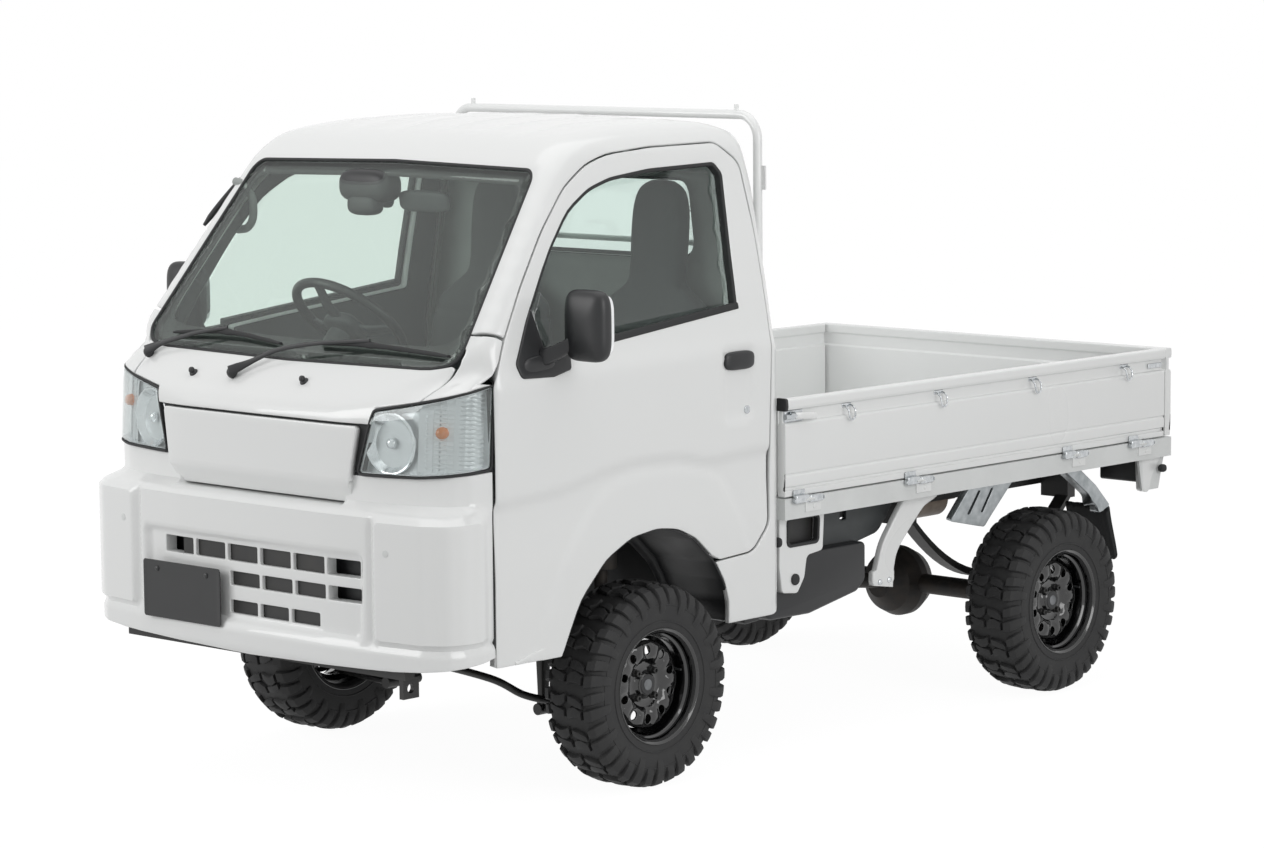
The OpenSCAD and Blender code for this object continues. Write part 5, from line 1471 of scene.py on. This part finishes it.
# Woven polyester over foam: dark grey, with a fine weave from the thread size.
seat_cloth = finish("woven_seat_cloth", "#3B3E3F", 0.85, spots=("#434647", 12, 0.8), bump=(1.1, 0.25, 0.7),
                    Sheen_Weight=0.3)
piping = finish("seat_piping_vinyl", "#26282A", 0.6, spots=("#2C2E30", 20, 0.7), bump=(1.5, 0.1, 0.3))
SPINE = [[-418, 905, 198, 34], [-426, 925, 226, 52], [-420, 1000, 238, 62], [-402, 1120, 238, 64], [-384, 1230, 232, 62],
         [-374, 1300, 214, 55], [-368, 1345, 160, 50], [-363, 1385, 104, 47], [-357, 1430, 94, 46], [-348, 1530, 95, 48],
         [-341, 1610, 92, 45], [-337, 1660, 76, 36], [-335, 1684, 44, 18], [-335, 1689, 12, 5]]
for side_name, sign in (("left", 1), ("right", -1)):
    mid = sign * 335.0
    rows = even(SPINE, 90)
    rows[:, 2:] = np.clip(rows[:, 2:], 2, None)
    centres = np.stack([np.full(90, mid), rows[:, 0], rows[:, 1]], -1)
    groove = 1 - 0.05 * np.exp(-((rows[:, 1:2] - 1085) / 7) ** 2) - 0.05 * np.exp(-((rows[:, 1:2] - 1265) / 7) ** 2)
    back = loft(centres, rows[:, 2:3] * (1, 0, 0) * groove, rows[:, 3:4] * groove * (0, 1, -0.1), 3.2, 64)
    obj = add_piece(f"seat_{side_name}_back", *back, seat_cloth, stands_for="seat_" + side_name)
    x, y, z = np.meshgrid(np.linspace(-1, 1, 40), np.linspace(-1, 1, 44), [0], indexing="ij")
    cushion = pillow((mid, -648, 868), (238, 226, 78), 2.8, 5.0, ((1, 0, 0), (0, 1, 0), (0, 0.12, 1)), 40, 72)
    p, f = cushion
    side_line = np.abs(p[:, 0] - mid)
    top = p[:, 2] > 880
    p[:, 2] -= np.where(top, 9 * np.exp(-((side_line - 150) / 7) ** 2) + 7 * np.exp(-((p[:, 1] + 650) / 8) ** 2)
                        * (side_line < 150), 0)
    p[:, 2] += np.where(top, 10 * smooth((side_line - 160) / 40), 0)
    obj = add_piece(f"seat_{side_name}_cushion", p, f, seat_cloth)
    t = np.linspace(0, 2 * np.pi, 100, endpoint=False)
    c = np.sign(np.cos(t)) * np.abs(np.cos(t)) ** 0.4
    s = np.sign(np.sin(t)) * np.abs(np.sin(t)) ** 0.4
    seam = np.stack([mid + 237.5 * c, -648 + 225 * s, 868 + 0 * s], -1)
    add_piece(f"seat_{side_name}_piping", *tube(seam, 4, 10, closed=True), piping)
    base = soft_box((mid - 200, -840, 778), (mid + 200, -420, 812), 10)
    add_piece(f"seat_{side_name}_base", *base, black_moulded)
print("interior made")

# %% [markdown]
# Long parts of the bed are rolled sections: one profile carried straight along an axis, with its
# end rows drawn in by an arc so that no edge is left sharp.

# %% Rolled sections


def bar(section, start, stop, frame, soft=1.5):
    """A section of [u, v] carried along w from start to stop. frame is (origin, u, v, w). The first
    and last rows shrink the section by an arc of the soft radius."""
    origin, u, v, w = (np.asarray(a, float) for a in frame)
    q = np.linspace(0, np.pi / 2, 4)
    inset, run = soft * (1 - np.sin(q)), soft * (1 - np.cos(q))
    inset = np.concatenate([inset, inset[::-1]])
    along = np.concatenate([start + run, stop - run[::-1]])
    rows = np.stack([grown(section, -d) for d in inset])
    points = origin + rows[..., :1] * u + rows[..., 1:] * v + along[:, None, None] * w
    n = len(section)
    ends = np.array([np.arange(n)[::-1], np.arange(n) + (len(along) - 1) * n])
    return points.reshape(-1, 3), [grid_faces(len(along), n, wrap_columns=True), ends]


def flat_map(origin, u, v, push=None):
    """A plane as a map: origin + a * u + b * v, and push(a, b) moves points along the normal."""
    origin, u, v = (np.asarray(a, float) for a in (origin, u, v))
    normal = unit(np.cross(u, v))

    def place(ab):
        lift = push(ab[:, 0], ab[:, 1]) if push else np.zeros(len(ab))
        return origin + ab[:, :1] * u + ab[:, 1:] * v + lift[:, None] * normal
    return place


X, Y, Z = np.eye(3)
SIDE_FRAME = {1: ((737.5, 0, 0), X, Z, Y), -1: ((-737.5, 0, 0), -X, Z, Y)}
TAIL_FRAME = ((0, 1677, 0), Y, Z, X)
HEAD_FRAME = ((0, -259, 0), -Y, Z, X)

# %% [markdown]
# The gates are rolled sheet with a D-shaped rail on top, a band for the rope hooks, a ledge, a
# plain face with one fine crease, and a groove above the foot.

# %% Gates
GATE = rounded([[-31, 773, 2], [-3, 773, 2], [-2, 790, 1], [-8, 793, 1], [-8, 800, 1], [-1, 803, 1], [0, 807, 1],
                [0, 832, 1], [-3, 836, 1], [-3, 839, 1], [0, 843, 1], [0, 983, 3], [-4, 989, 3], [-12, 991, 3],
                [-12, 1026, 2], [1.5, 1028, 3], [4, 1036, 8], [3, 1056, 6], [-3, 1060, 4], [-27, 1060, 3],
                [-31, 1056, 3], [-31, 1032, 3], [-25, 1026, 3], [-25, 990, 3], [-31, 984, 3]])
RAIL_CAP = rounded([[-33, 1025, 4], [5, 1025, 5], [7, 1040, 8], [5, 1060, 6], [-2, 1063, 5], [-33, 1063, 4]])
SIDE_HINGES = ((-236, -97), (281, 420), (1072, 1205), (1427, 1565))
ROPE_HOOKS = (34, 470, 942, 1426)
for side_name, sign in (("left", 1), ("right", -1)):
    body, frame = "side_gate_" + side_name, SIDE_FRAME[sign]
    s3 = np.array([sign, 1, 1.0])
    add_piece(f"gate_{side_name}_sheet", *bar(GATE, -255, 1637, frame), enamel, body, "side_gate_" + side_name)
    caps = [bar(RAIL_CAP, -258, -248, frame, 2)]
    add_piece(f"gate_{side_name}_rail_caps", *joined(caps), black_moulded, body)
    hooks, moving, fixed, plates = [], [], [], []
    for y in ROPE_HOOKS:
        wire = even([[729, y - 16, 1018], [739, y - 16, 1014], [748, y - 15, 1004], [750, y - 12, 984], [750, y, 977],
                     [750, y + 12, 984], [748, y + 15, 1004], [739, y + 16, 1014], [729, y + 16, 1018]], 44) * s3
        hooks.append(tube(wire, 2.8, 10, (0, 0.3, 1)))
        hooks.append(soft_box(np.array([724, y - 21, 1012]) * s3, np.array([728, y + 21, 1025]) * s3, 1.5))
    for y0, y1 in SIDE_HINGES:
        mid = (y0 + y1) / 2
        moving.append(soft_box(np.array([739, y0 + 8, 753]) * s3, np.array([757, mid - 3, 777]) * s3, 5))
        moving.append(soft_box(np.array([737, y0 + 12, 770]) * s3, np.array([742, mid - 7, 792]) * s3, 1.5))
        fixed.append(soft_box(np.array([739, mid + 2, 751]) * s3, np.array([757, y1 - 8, 773]) * s3, 5))
        fixed.append(tube(np.array([[749.5, y0 + 3, 762], [749.5, y1 - 3, 762]]) * s3, 5, 14))
        fixed.append(ball_cap(np.array([749.5, y1 - 6, 762]) * s3, (0, 1, 0), 8, 4))
        plates.append(soft_box(np.array([737, mid - 4, 722]) * s3, np.array([742, y1 - 4, 762]) * s3, 1.5))
        plates.append(ball_cap(np.array([742, (mid + y1) / 2, 736]) * s3, (sign, 0, 0), 7, 3))
    add_piece(f"gate_{side_name}_rope_hooks", *joined(hooks), zinc, body)
    add_piece(f"gate_{side_name}_hinge_knuckles", *joined(moving), zinc, body)
    add_piece(f"bed_{side_name}_hinge_knuckles", *joined(fixed), zinc)
    add_piece(f"bed_{side_name}_hinge_plates", *joined(plates), enamel)
    latch = [soft_box(np.array([724, -250, 992]) * s3, np.array([731, -170, 1026]) * s3, 2),
             tube(np.array([[734, -252, 1008], [738, -205, 1009]]) * s3, 8, 16),
             tube(np.array([[736, -225, 1000], [742, -225, 1020]]) * s3, 9, 16),
             soft_box(np.array([726, 1556, 1000]) * s3, np.array([731, 1632, 1016]) * s3, 2)]
    add_piece(f"gate_{side_name}_latch", *joined(latch), zinc, body)
    lever = even([[738, -216, 1010], [748, -196, 1009], [751, -160, 1006], [750, -128, 1004]], 16) * s3
    taper = np.array([7] + [10] * 14 + [5.0])[:, None]
    add_piece(f"gate_{side_name}_latch_lever", *loft(lever, taper * (0, 0, 1), taper * (0.4, 0, 0), 3, 20), enamel, body)

add_piece("tail_gate_sheet", *bar(GATE, -735, 735, TAIL_FRAME), enamel, "tail_gate", "tail_gate")
moving, fixed = [], []
for x in (-560, 0, 560):
    moving.append(soft_box((x - 62, 1680, 753), (x - 3, 1697, 777), 5))
    fixed.append(soft_box((x + 2, 1680, 751), (x + 60, 1697, 773), 5))
    fixed.append(tube(np.array([[x - 66, 1689.5, 762], [x + 66, 1689.5, 762.0]]), 5, 14, (0, 1, 0)))
add_piece("tail_gate_hinge_knuckles", *joined(moving), zinc, "tail_gate")
add_piece("bed_tail_hinge_knuckles", *joined(fixed), zinc)
hooks = []
for x in (-430, 430):
    wire = even([[x - 16, 1668, 1018], [x - 15, 1684, 1006], [x - 10, 1690, 982], [x + 10, 1690, 982],
                 [x + 15, 1684, 1006], [x + 16, 1668, 1018]], 34)
    hooks.append(tube(wire, 3.6, 10, (0.3, 0, 1)))
add_piece("tail_gate_rope_hooks", *joined(hooks), zinc, "tail_gate")

HEAD = rounded([[-25, 775, 2], [-2, 775, 2], [-1, 900, 1], [-5, 906, 1], [-5, 914, 1], [-1, 920, 1], [0, 1024, 3],
                [2, 1034, 4], [1, 1040, 4], [-25, 1040, 4], [-26, 1030, 2], [-22, 1022, 2], [-22, 790, 2]])
head = [bar(HEAD, -694, 694, HEAD_FRAME)]
for x in (-520, -260, 0, 260, 520):
    head.append(soft_box((x - 18, -256, 790), (x + 18, -230, 1020), 7))
head += [soft_box((s * 656 - 19, -258, 1036), (s * 656 + 19, -235, 1060), 4) for s in (1, -1)]
add_piece("headboard_sheet", *joined(head), enamel, stands_for="headboard")

deck_x = np.linspace(-699, 699, 281)
rib = smooth((np.abs((deck_x / 92 + 0.5) % 1 - 0.5) * 92 - 14) / 9)
deck_y = np.array([-229, 1641.0])
p = np.stack([np.broadcast_to(deck_x, (2, 281)), np.broadcast_to(deck_y[:, None], (2, 281)),
              np.broadcast_to(784.5 - 4 * rib, (2, 281))], -1).reshape(-1, 3)
deck = add_piece("bed_deck_sheet", p, [grid_faces(2, 281)[:, ::-1]], enamel_dull, closed=False)
print("gates made")

# %% [markdown]
# Under the bed's edge: the white front bracket with its rubber-lined window, the bent stay, the
# slotted galvanised guards and black flaps round the rear wheels, and the tail lamps.

# %% Under the bed's edge
for side_name, sign in (("left", 1), ("right", -1)):
    s3 = np.array([sign, 1, 1.0])
    side_plane = flat_map((sign * 700, 0, 0), (0, 1, 0), (0, 0, 1))
    centre = np.array([0, 600, 700.0])
    bracket = rounded([[-240, 718, 4], [-240, 560, 20], [-228, 484, 14], [-160, 476, 16], [-128, 520, 40],
                       [-116, 584, 20], [-44, 592, 14], [-36, 718, 4]])
    window = rounded([[-206, 618, 16], [-206, 702, 16], [-62, 702, 16], [-66, 618, 16]])
    sheet = panel([bracket], [window], side_plane, step=24, roll=3, flange=26, middle=centre)
    thicken(add_piece(f"front_bracket_{side_name}", *sheet, enamel, "chassis",
                      ("bed_brackets",) if sign > 0 else (), closed=False), 1.6)
    p, n = on_surface(side_plane, dense(grown(window, -2), 12), centre)
    add_piece(f"bracket_grommet_{side_name}", *moulding(p, n, bead(10, 4, -14)), seal_rubber)
    back = panel([grown(window, 6)], [], side_plane, step=40, roll=0, flange=0, sink=24, middle=centre)
    add_piece(f"bracket_back_{side_name}", *back, chassis_black, closed=False)
    bumps = [disc(np.array([700, -173, 519]) * s3, (sign, 0, 0), 17, 7, 3, 28),
             pillow(np.array([712, -262, 640]) * s3, (14, 10, 15), 2.5, 2.5)]
    add_piece(f"bracket_stops_{side_name}", *joined(bumps), seal_rubber)
    stay = even([[676, 478, 742], [676, 420, 700], [674, 350, 628], [668, 300, 560], [664, 282, 500], [662, 272, 440]], 40)
    run = unit(np.gradient(stay, axis=0))
    wide = unit(np.cross(run, (1, 0, 0)))
    size = np.interp(np.linspace(0, 1, 40), [0, 0.2, 0.5, 0.8, 1], [64, 46, 38, 40, 48])[:, None]
    parts = [loft(stay * s3, wide * s3 * size, np.full((40, 1), 13.0) * X, 6, 36)]
    parts.append(pillow(np.array([664, 272, 470]) * s3, (24, 52, 12), 6, 5, ((0, 0, 1), (0, 1, 0), (1, 0, 0))))
    parts.append(pillow(np.array([650, 440, 716]) * s3, (24, 80, 34), 5, 5, ((0, 0, 1), (0, 1, 0), (1, 0, 0))))
    add_piece(f"bed_stay_{side_name}", *joined(parts), enamel)
    add_piece(f"stay_bolts_{side_name}", *joined([ball_cap(np.array([677, y, z]) * s3, (sign, 0, 0), 9, 5)
              for y, z in ((250, 456), (294, 458), (456, 724))]), zinc)
    inner = rounded([[-30, 716, 4], [-30, 570, 30], [120, 566, 20], [300, 600, 60], [400, 716, 4]])
    under_plane = flat_map((sign * 628, 0, 0), (0, 1, 0), (0, 0, 1), lambda a, b: 4 * smooth(1 - np.abs(b - 640) / 14))
    sheet = panel([inner], [rounded([[120, 655, 5], [120, 690, 5], [150, 690, 5], [150, 655, 5]])], under_plane, step=22,
                  roll=2, flange=14, middle=centre)
    thicken(add_piece(f"inner_plate_{side_name}", *sheet, dash_abs, closed=False), 1.5)
    # guards: a slotted plate ahead of the wheel and a ribbed strip behind it, both of bright zinc sheet
    ahead_guard = rounded([[578, 604, 8], [758, 566, 14], [872, 716, 6], [650, 716, 6]])
    cuts = [rounded([[y, 618, 5], [y + 34, 694, 5], [y + 48, 694, 5], [y + 14, 618, 5]]) for y in (655, 722)]
    tilted = flat_map((sign * 696, 0, 640), (0, 1, 0), (sign * 0.22, 0, 0.975),
                      lambda a, b: 3 * smooth(1 - np.abs(a - 700) / 90))
    sheet = panel([ahead_guard - (0, 640)], [c - (0, 640) for c in cuts], tilted, step=16, roll=2, flange=20, middle=centre)
    thicken(add_piece(f"wheel_guard_{side_name}_1", *sheet, galvanised, "chassis",
                      ("wheel_guards",) if sign > 0 else (), closed=False), 1.6)
    strip = rounded([[1149, 712, 6], [1222, 716, 6], [1330, 640, 60], [1408, 566, 6], [1352, 548, 6], [1290, 616, 60]])
    ribbed_plane = flat_map((sign * 690, 0, 0), (0, 1, 0), (0, 0, 1),
                            lambda a, b: 3 * smooth(1 - np.abs(b - 1400 + 0.62 * a) / 9))
    sheet = panel([strip], [], ribbed_plane, step=12, roll=2, flange=34, middle=centre)
    thicken(add_piece(f"wheel_guard_{side_name}_2", *sheet, galvanised, closed=False), 1.6)
    flap_plane = flat_map((sign * 590, 1404, 566), (0, 0.33, -1), (sign * 1.0, 0, 0),
                          lambda a, b: 5 * np.sin(a / 30) * 0.3 + 3 * smooth(1 - np.abs(np.abs(b - 20) - 60) / 12))
    sheet = panel([rounded([[0, -78, 8], [0, 100, 8], [186, 92, 22], [186, -70, 22]])], [], flap_plane, step=14, roll=1,
                  flange=0, middle=np.array([sign * 600.0, 600, 500]))
    thicken(add_piece(f"mud_flap_{side_name}", *sheet, seal_rubber, "chassis",
                      ("mud_flaps",) if sign > 0 else (), closed=False), 4)
    rear = rounded([[1543, 722, 4], [1552, 600, 14], [1584, 590, 14], [1600, 640, 30], [1646, 700, 12], [1646, 722, 4]])
    plane = flat_map((sign * 716, 0, 0), (0, 1, 0), (0, 0, 1))
    sheet = panel([rear], [], plane, step=24, roll=3, flange=24, middle=centre)
    thicken(add_piece(f"rear_bracket_{side_name}", *sheet, enamel, closed=False), 1.6)
    add_piece(f"rear_stop_{side_name}", *pillow(np.array([734, 1634, 668]) * s3, (13, 14, 13), 2.6, 2.6), seal_rubber)
    # tail lamps: red, amber and white in one case
    case = soft_box(np.array([498, 1610, 616]) * s3, np.array([668, 1648, 704]) * s3, 8)
    add_piece(f"tail_lamp_{side_name}_case", *case, black_moulded, stands_for=("tail_lamps",) if sign > 0 else ())
    for k, (x0, x1, stuff) in enumerate(((504, 580, red_lens), (583, 622, amber), (625, 662, clear_lens_back))):
        lens = soft_box(np.array([x0, 1640, 622]) * s3, np.array([x1, 1664, 698]) * s3, 7)
        add_piece(f"tail_lamp_{side_name}_lens_{k + 1}", *lens, stuff)
print("under-bed parts made")

# %% [markdown]
# Black plastic lines the front arches and the space behind the grille, and a ribbed cover closes
# the tank. Without them white sheet would show where the real truck is dark.

# %% Liners and tank cover
ARCH_TOP = rounded([[1206, 440, 0], [1206, 505, 60], [1176, 566, 60], [1136, 626, 80], [1051, 699, 120],
                    [979, 733, 150], [896, 744, 150], [792, 731, 150], [688, 682, 160], [584, 581, 200],
                    [509, 440, 0]], closed=False) + (FRONT, 0)
for side_name, sign in (("left", 1), ("right", -1)):
    path = dense(ARCH_TOP, 14)[:-2] if False else ARCH_TOP
    count = len(path)
    x_rows = np.array([731, 724, 700, 640, 560, 505, 500.0]) * sign
    drop = np.array([1.5, 3, 4, 4, 5, 10, 40.0])
    toward = unit(np.array([path[:, 0].mean(), 480.0]) - path)
    yz = path[None] + toward[None] * drop[:, None, None] * 1.0
    p = np.concatenate([np.broadcast_to(x_rows[:, None, None], (7, count, 1)), yz], -1).reshape(-1, 3)
    liner = add_piece(f"arch_liner_{side_name}", p, [grid_faces(7, count)], black_moulded, closed=False)
    thicken(liner, 2.0, 0.0)
duct = panel([rounded([[-470, 470, 30], [-470, 760, 30], [470, 760, 30], [470, 470, 30]])], [], bumper_map, step=50,
             roll=0, flange=-44, sink=56, middle=np.array([0, FRONT + 900, 700]))
add_piece("grille_duct", *duct, black_moulded, closed=False)
TANK = rounded([[-262, 402, 24], [-262, 588, 16], [190, 588, 16], [190, 470, 30], [150, 440, 30], [-70, 400, 40]])
tank_frame = ((0, 0, 0), Y, Z, X)
tank = [bar(TANK, 348, 672, tank_frame, 10)]
tank += [bar(grown(TANK, 5), x - 9, x + 9, tank_frame, 4) for x in (400, 470, 540, 610)]
add_piece("tank_cover", *joined(tank), black_moulded, stands_for="fuel_tank")
shield = [bar(rounded([[-330, 397, 10], [-330, 470, 10], [-262, 560, 20], [-262, 402, 10]]), 500, 640, tank_frame, 4)]
add_piece("tank_front_shield", *joined(shield), black_moulded)
print("liners made")

# %% [markdown]
# The front suspension is a strut type: forged lower arms, wide at the frame and narrow at the
# ball joint, hang from the rails on brackets, with a stabiliser bar ahead of them.

# %% Front suspension
ARM_Z, AXLE_F = 186.0, -801.5
parts = []
for sign in (1, -1):
    s3 = np.array([sign, 1, 1.0])
    arm = even([[312, AXLE_F, ARM_Z], [380, AXLE_F, ARM_Z - 2], [470, AXLE_F, ARM_Z - 4], [560, AXLE_F, ARM_Z - 2],
                [604, AXLE_F, ARM_Z]], 30) * s3
    wide = np.interp(np.linspace(0, 1, 30), [0, 0.25, 0.6, 1], [64, 46, 16, 12])[:, None]
    thick = np.interp(np.linspace(0, 1, 30), [0, 0.9, 1], [11, 9, 6])[:, None]
    parts.append(loft(arm, wide * Y, thick * Z, 4, 32))
    for y in (AXLE_F - 44, AXLE_F + 44):
        leg = even([[318, y, ARM_Z - 8], [320, y, 260], [321, y, 340], [321, y, 414]], 20) * s3
        size = np.interp(np.linspace(0, 1, 20), [0, 0.2, 1], [20, 15, 24])[:, None]
        parts.append(loft(leg, size * X * 0.7, size * Y, 5, 24))
        parts.append(tube(np.array([[318, y - 24, ARM_Z], [318, y + 24, ARM_Z]]) * s3, 17, 24))
bar_line = even([[-452, -806, 204], [-434, -880, 222], [-374, -975, 250], [-296, -1042, 300], [0, -1056, 320],
                 [296, -1042, 300], [374, -975, 250], [434, -880, 222], [452, -806, 204]], 90)
parts.append(tube(bar_line, 11, 14, (0, 0.2, 1)))
add_piece("front_suspension_arms", *joined(parts), chassis_black, stands_for="front_suspension")
print("front suspension made")

# %% [markdown]
# The parts under the truck keep their construction shapes. Each gets the finish of its real
# process: satin chassis paint, rough cast iron, cast aluminium, heated steel, grained vinyl.

# %% Finishes of the parts underneath
UNDER = {"frame": chassis_black, "engine": alloy, "radiator": chassis_black, "exhaust": exhaust_steel,
         "rear_axle": cast_metal, "leaf_springs": chassis_black,
         "knuckle_left": cast_metal, "knuckle_right": cast_metal, "cab_floor": floor_mat,
         "bed_floor": enamel_dull, "guard_frame": enamel, "steering_column": dash_abs}
for node, stuff in UNDER.items():
    held = bpy.data.objects[node]
    held.data.materials.clear()
    held.data.materials.append(stuff)
cad_names = {name for name in ("frame",) + tuple(UNDER)}
for obj in list(bpy.context.scene.collection.objects):
    if obj.type == "MESH" and obj.data.materials and obj.name not in cad_names and "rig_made" not in obj:
        stuff = obj.data.materials[0]
print("finishes given")

# %% [markdown]
# The stage is a studio: a pale floor and plain soft light. The background is white for the
# camera and in reflections only, so the lamps stay at a plain level and white paint doesn't clip.

# %% Stage and light
world = bpy.data.worlds.new("studio")
bpy.context.scene.world = world
world.use_nodes = True
sky = world.node_tree
sky.nodes.clear()
ray = add(sky, "ShaderNodeLightPath")
seen = add(sky, "ShaderNodeMath", {0: ray.outputs["Is Camera Ray"], 1: ray.outputs["Is Transmission Ray"]},
           operation="MAXIMUM")
dome = add(sky, "ShaderNodeBackground", {"Color": colour("#FFFFFF"), "Strength": 0.385})
shown = add(sky, "ShaderNodeBackground", {"Color": (1, 1, 1, 1), "Strength": 1.0})
seen = add(sky, "ShaderNodeMath", {0: seen.outputs[0], 1: ray.outputs["Is Glossy Ray"]}, operation="MAXIMUM")
pick = add(sky, "ShaderNodeMixShader", {0: seen.outputs[0], 1: dome.outputs[0], 2: shown.outputs[0]})
add(sky, "ShaderNodeOutputWorld", {"Surface": pick.outputs[0]})

floor_mesh = fill_mesh("floor", [[-30000, -30000, 0], [30000, -30000, 0], [30000, 30000, 0], [-30000, 30000, 0]],
                       np.array([[0, 1, 2, 3]]))
floor = bpy.data.objects.new("floor", floor_mesh)
bpy.context.scene.collection.objects.link(floor)
paper = bpy.data.materials.new("studio_paper_floor")
paper.use_nodes = True
tree = paper.node_tree
tree.nodes.clear()
spot = add(tree, "ShaderNodeTexCoord").outputs["Object"]
fibre = add(tree, "ShaderNodeTexNoise", {"Vector": spot, "Scale": 0.6, "Detail": 2.0})
tone = add(tree, "ShaderNodeMapRange", {"Value": fibre.outputs["Fac"], "To Min": 0.50, "To Max": 0.54})
soft = add(tree, "ShaderNodeBsdfDiffuse", {"Color": tone.outputs["Result"]})
lit = add(tree, "ShaderNodeEmission", {"Color": (1, 1, 1, 1), "Strength": 1.2})
path = add(tree, "ShaderNodeLightPath")
seen = add(tree, "ShaderNodeMath", {0: path.outputs["Is Camera Ray"], 1: path.outputs["Is Glossy Ray"]},
           operation="MAXIMUM")
share = add(tree, "ShaderNodeMath", {0: seen.outputs[0], 1: 0.8}, operation="MULTIPLY")
blend = add(tree, "ShaderNodeMixShader", {0: share.outputs[0], 1: soft.outputs[0], 2: lit.outputs[0]})
add(tree, "ShaderNodeOutputMaterial", {"Surface": blend.outputs[0]})
floor_mesh.materials.append(paper)


def panel_lamp(name, place, aim, size, power):
    """A large soft square lamp that looks at a point."""
    lamp = bpy.data.lights.new(name, "AREA")
    lamp.shape = "SQUARE"
    lamp.size = size
    lamp.energy = power
    obj = bpy.data.objects.new(name, lamp)
    obj.location = place
    obj.rotation_euler = (Vector(aim) - Vector(place)).to_track_quat("-Z", "Y").to_euler()
    bpy.context.scene.collection.objects.link(obj)


panel_lamp("ceiling_lamp", (0.5, -0.5, 6.5), (0, 0, 1), 7.0, 132)
panel_lamp("front_lamp", (-3.5, -7.0, 3.6), (0, -0.6, 1.0), 4.0, 190)
panel_lamp("side_lamp", (7.5, -1.0, 3.2), (0, 0, 0.9), 4.0, 190)
bpy.context.scene.view_settings.view_transform = "Standard"
print("stage set")
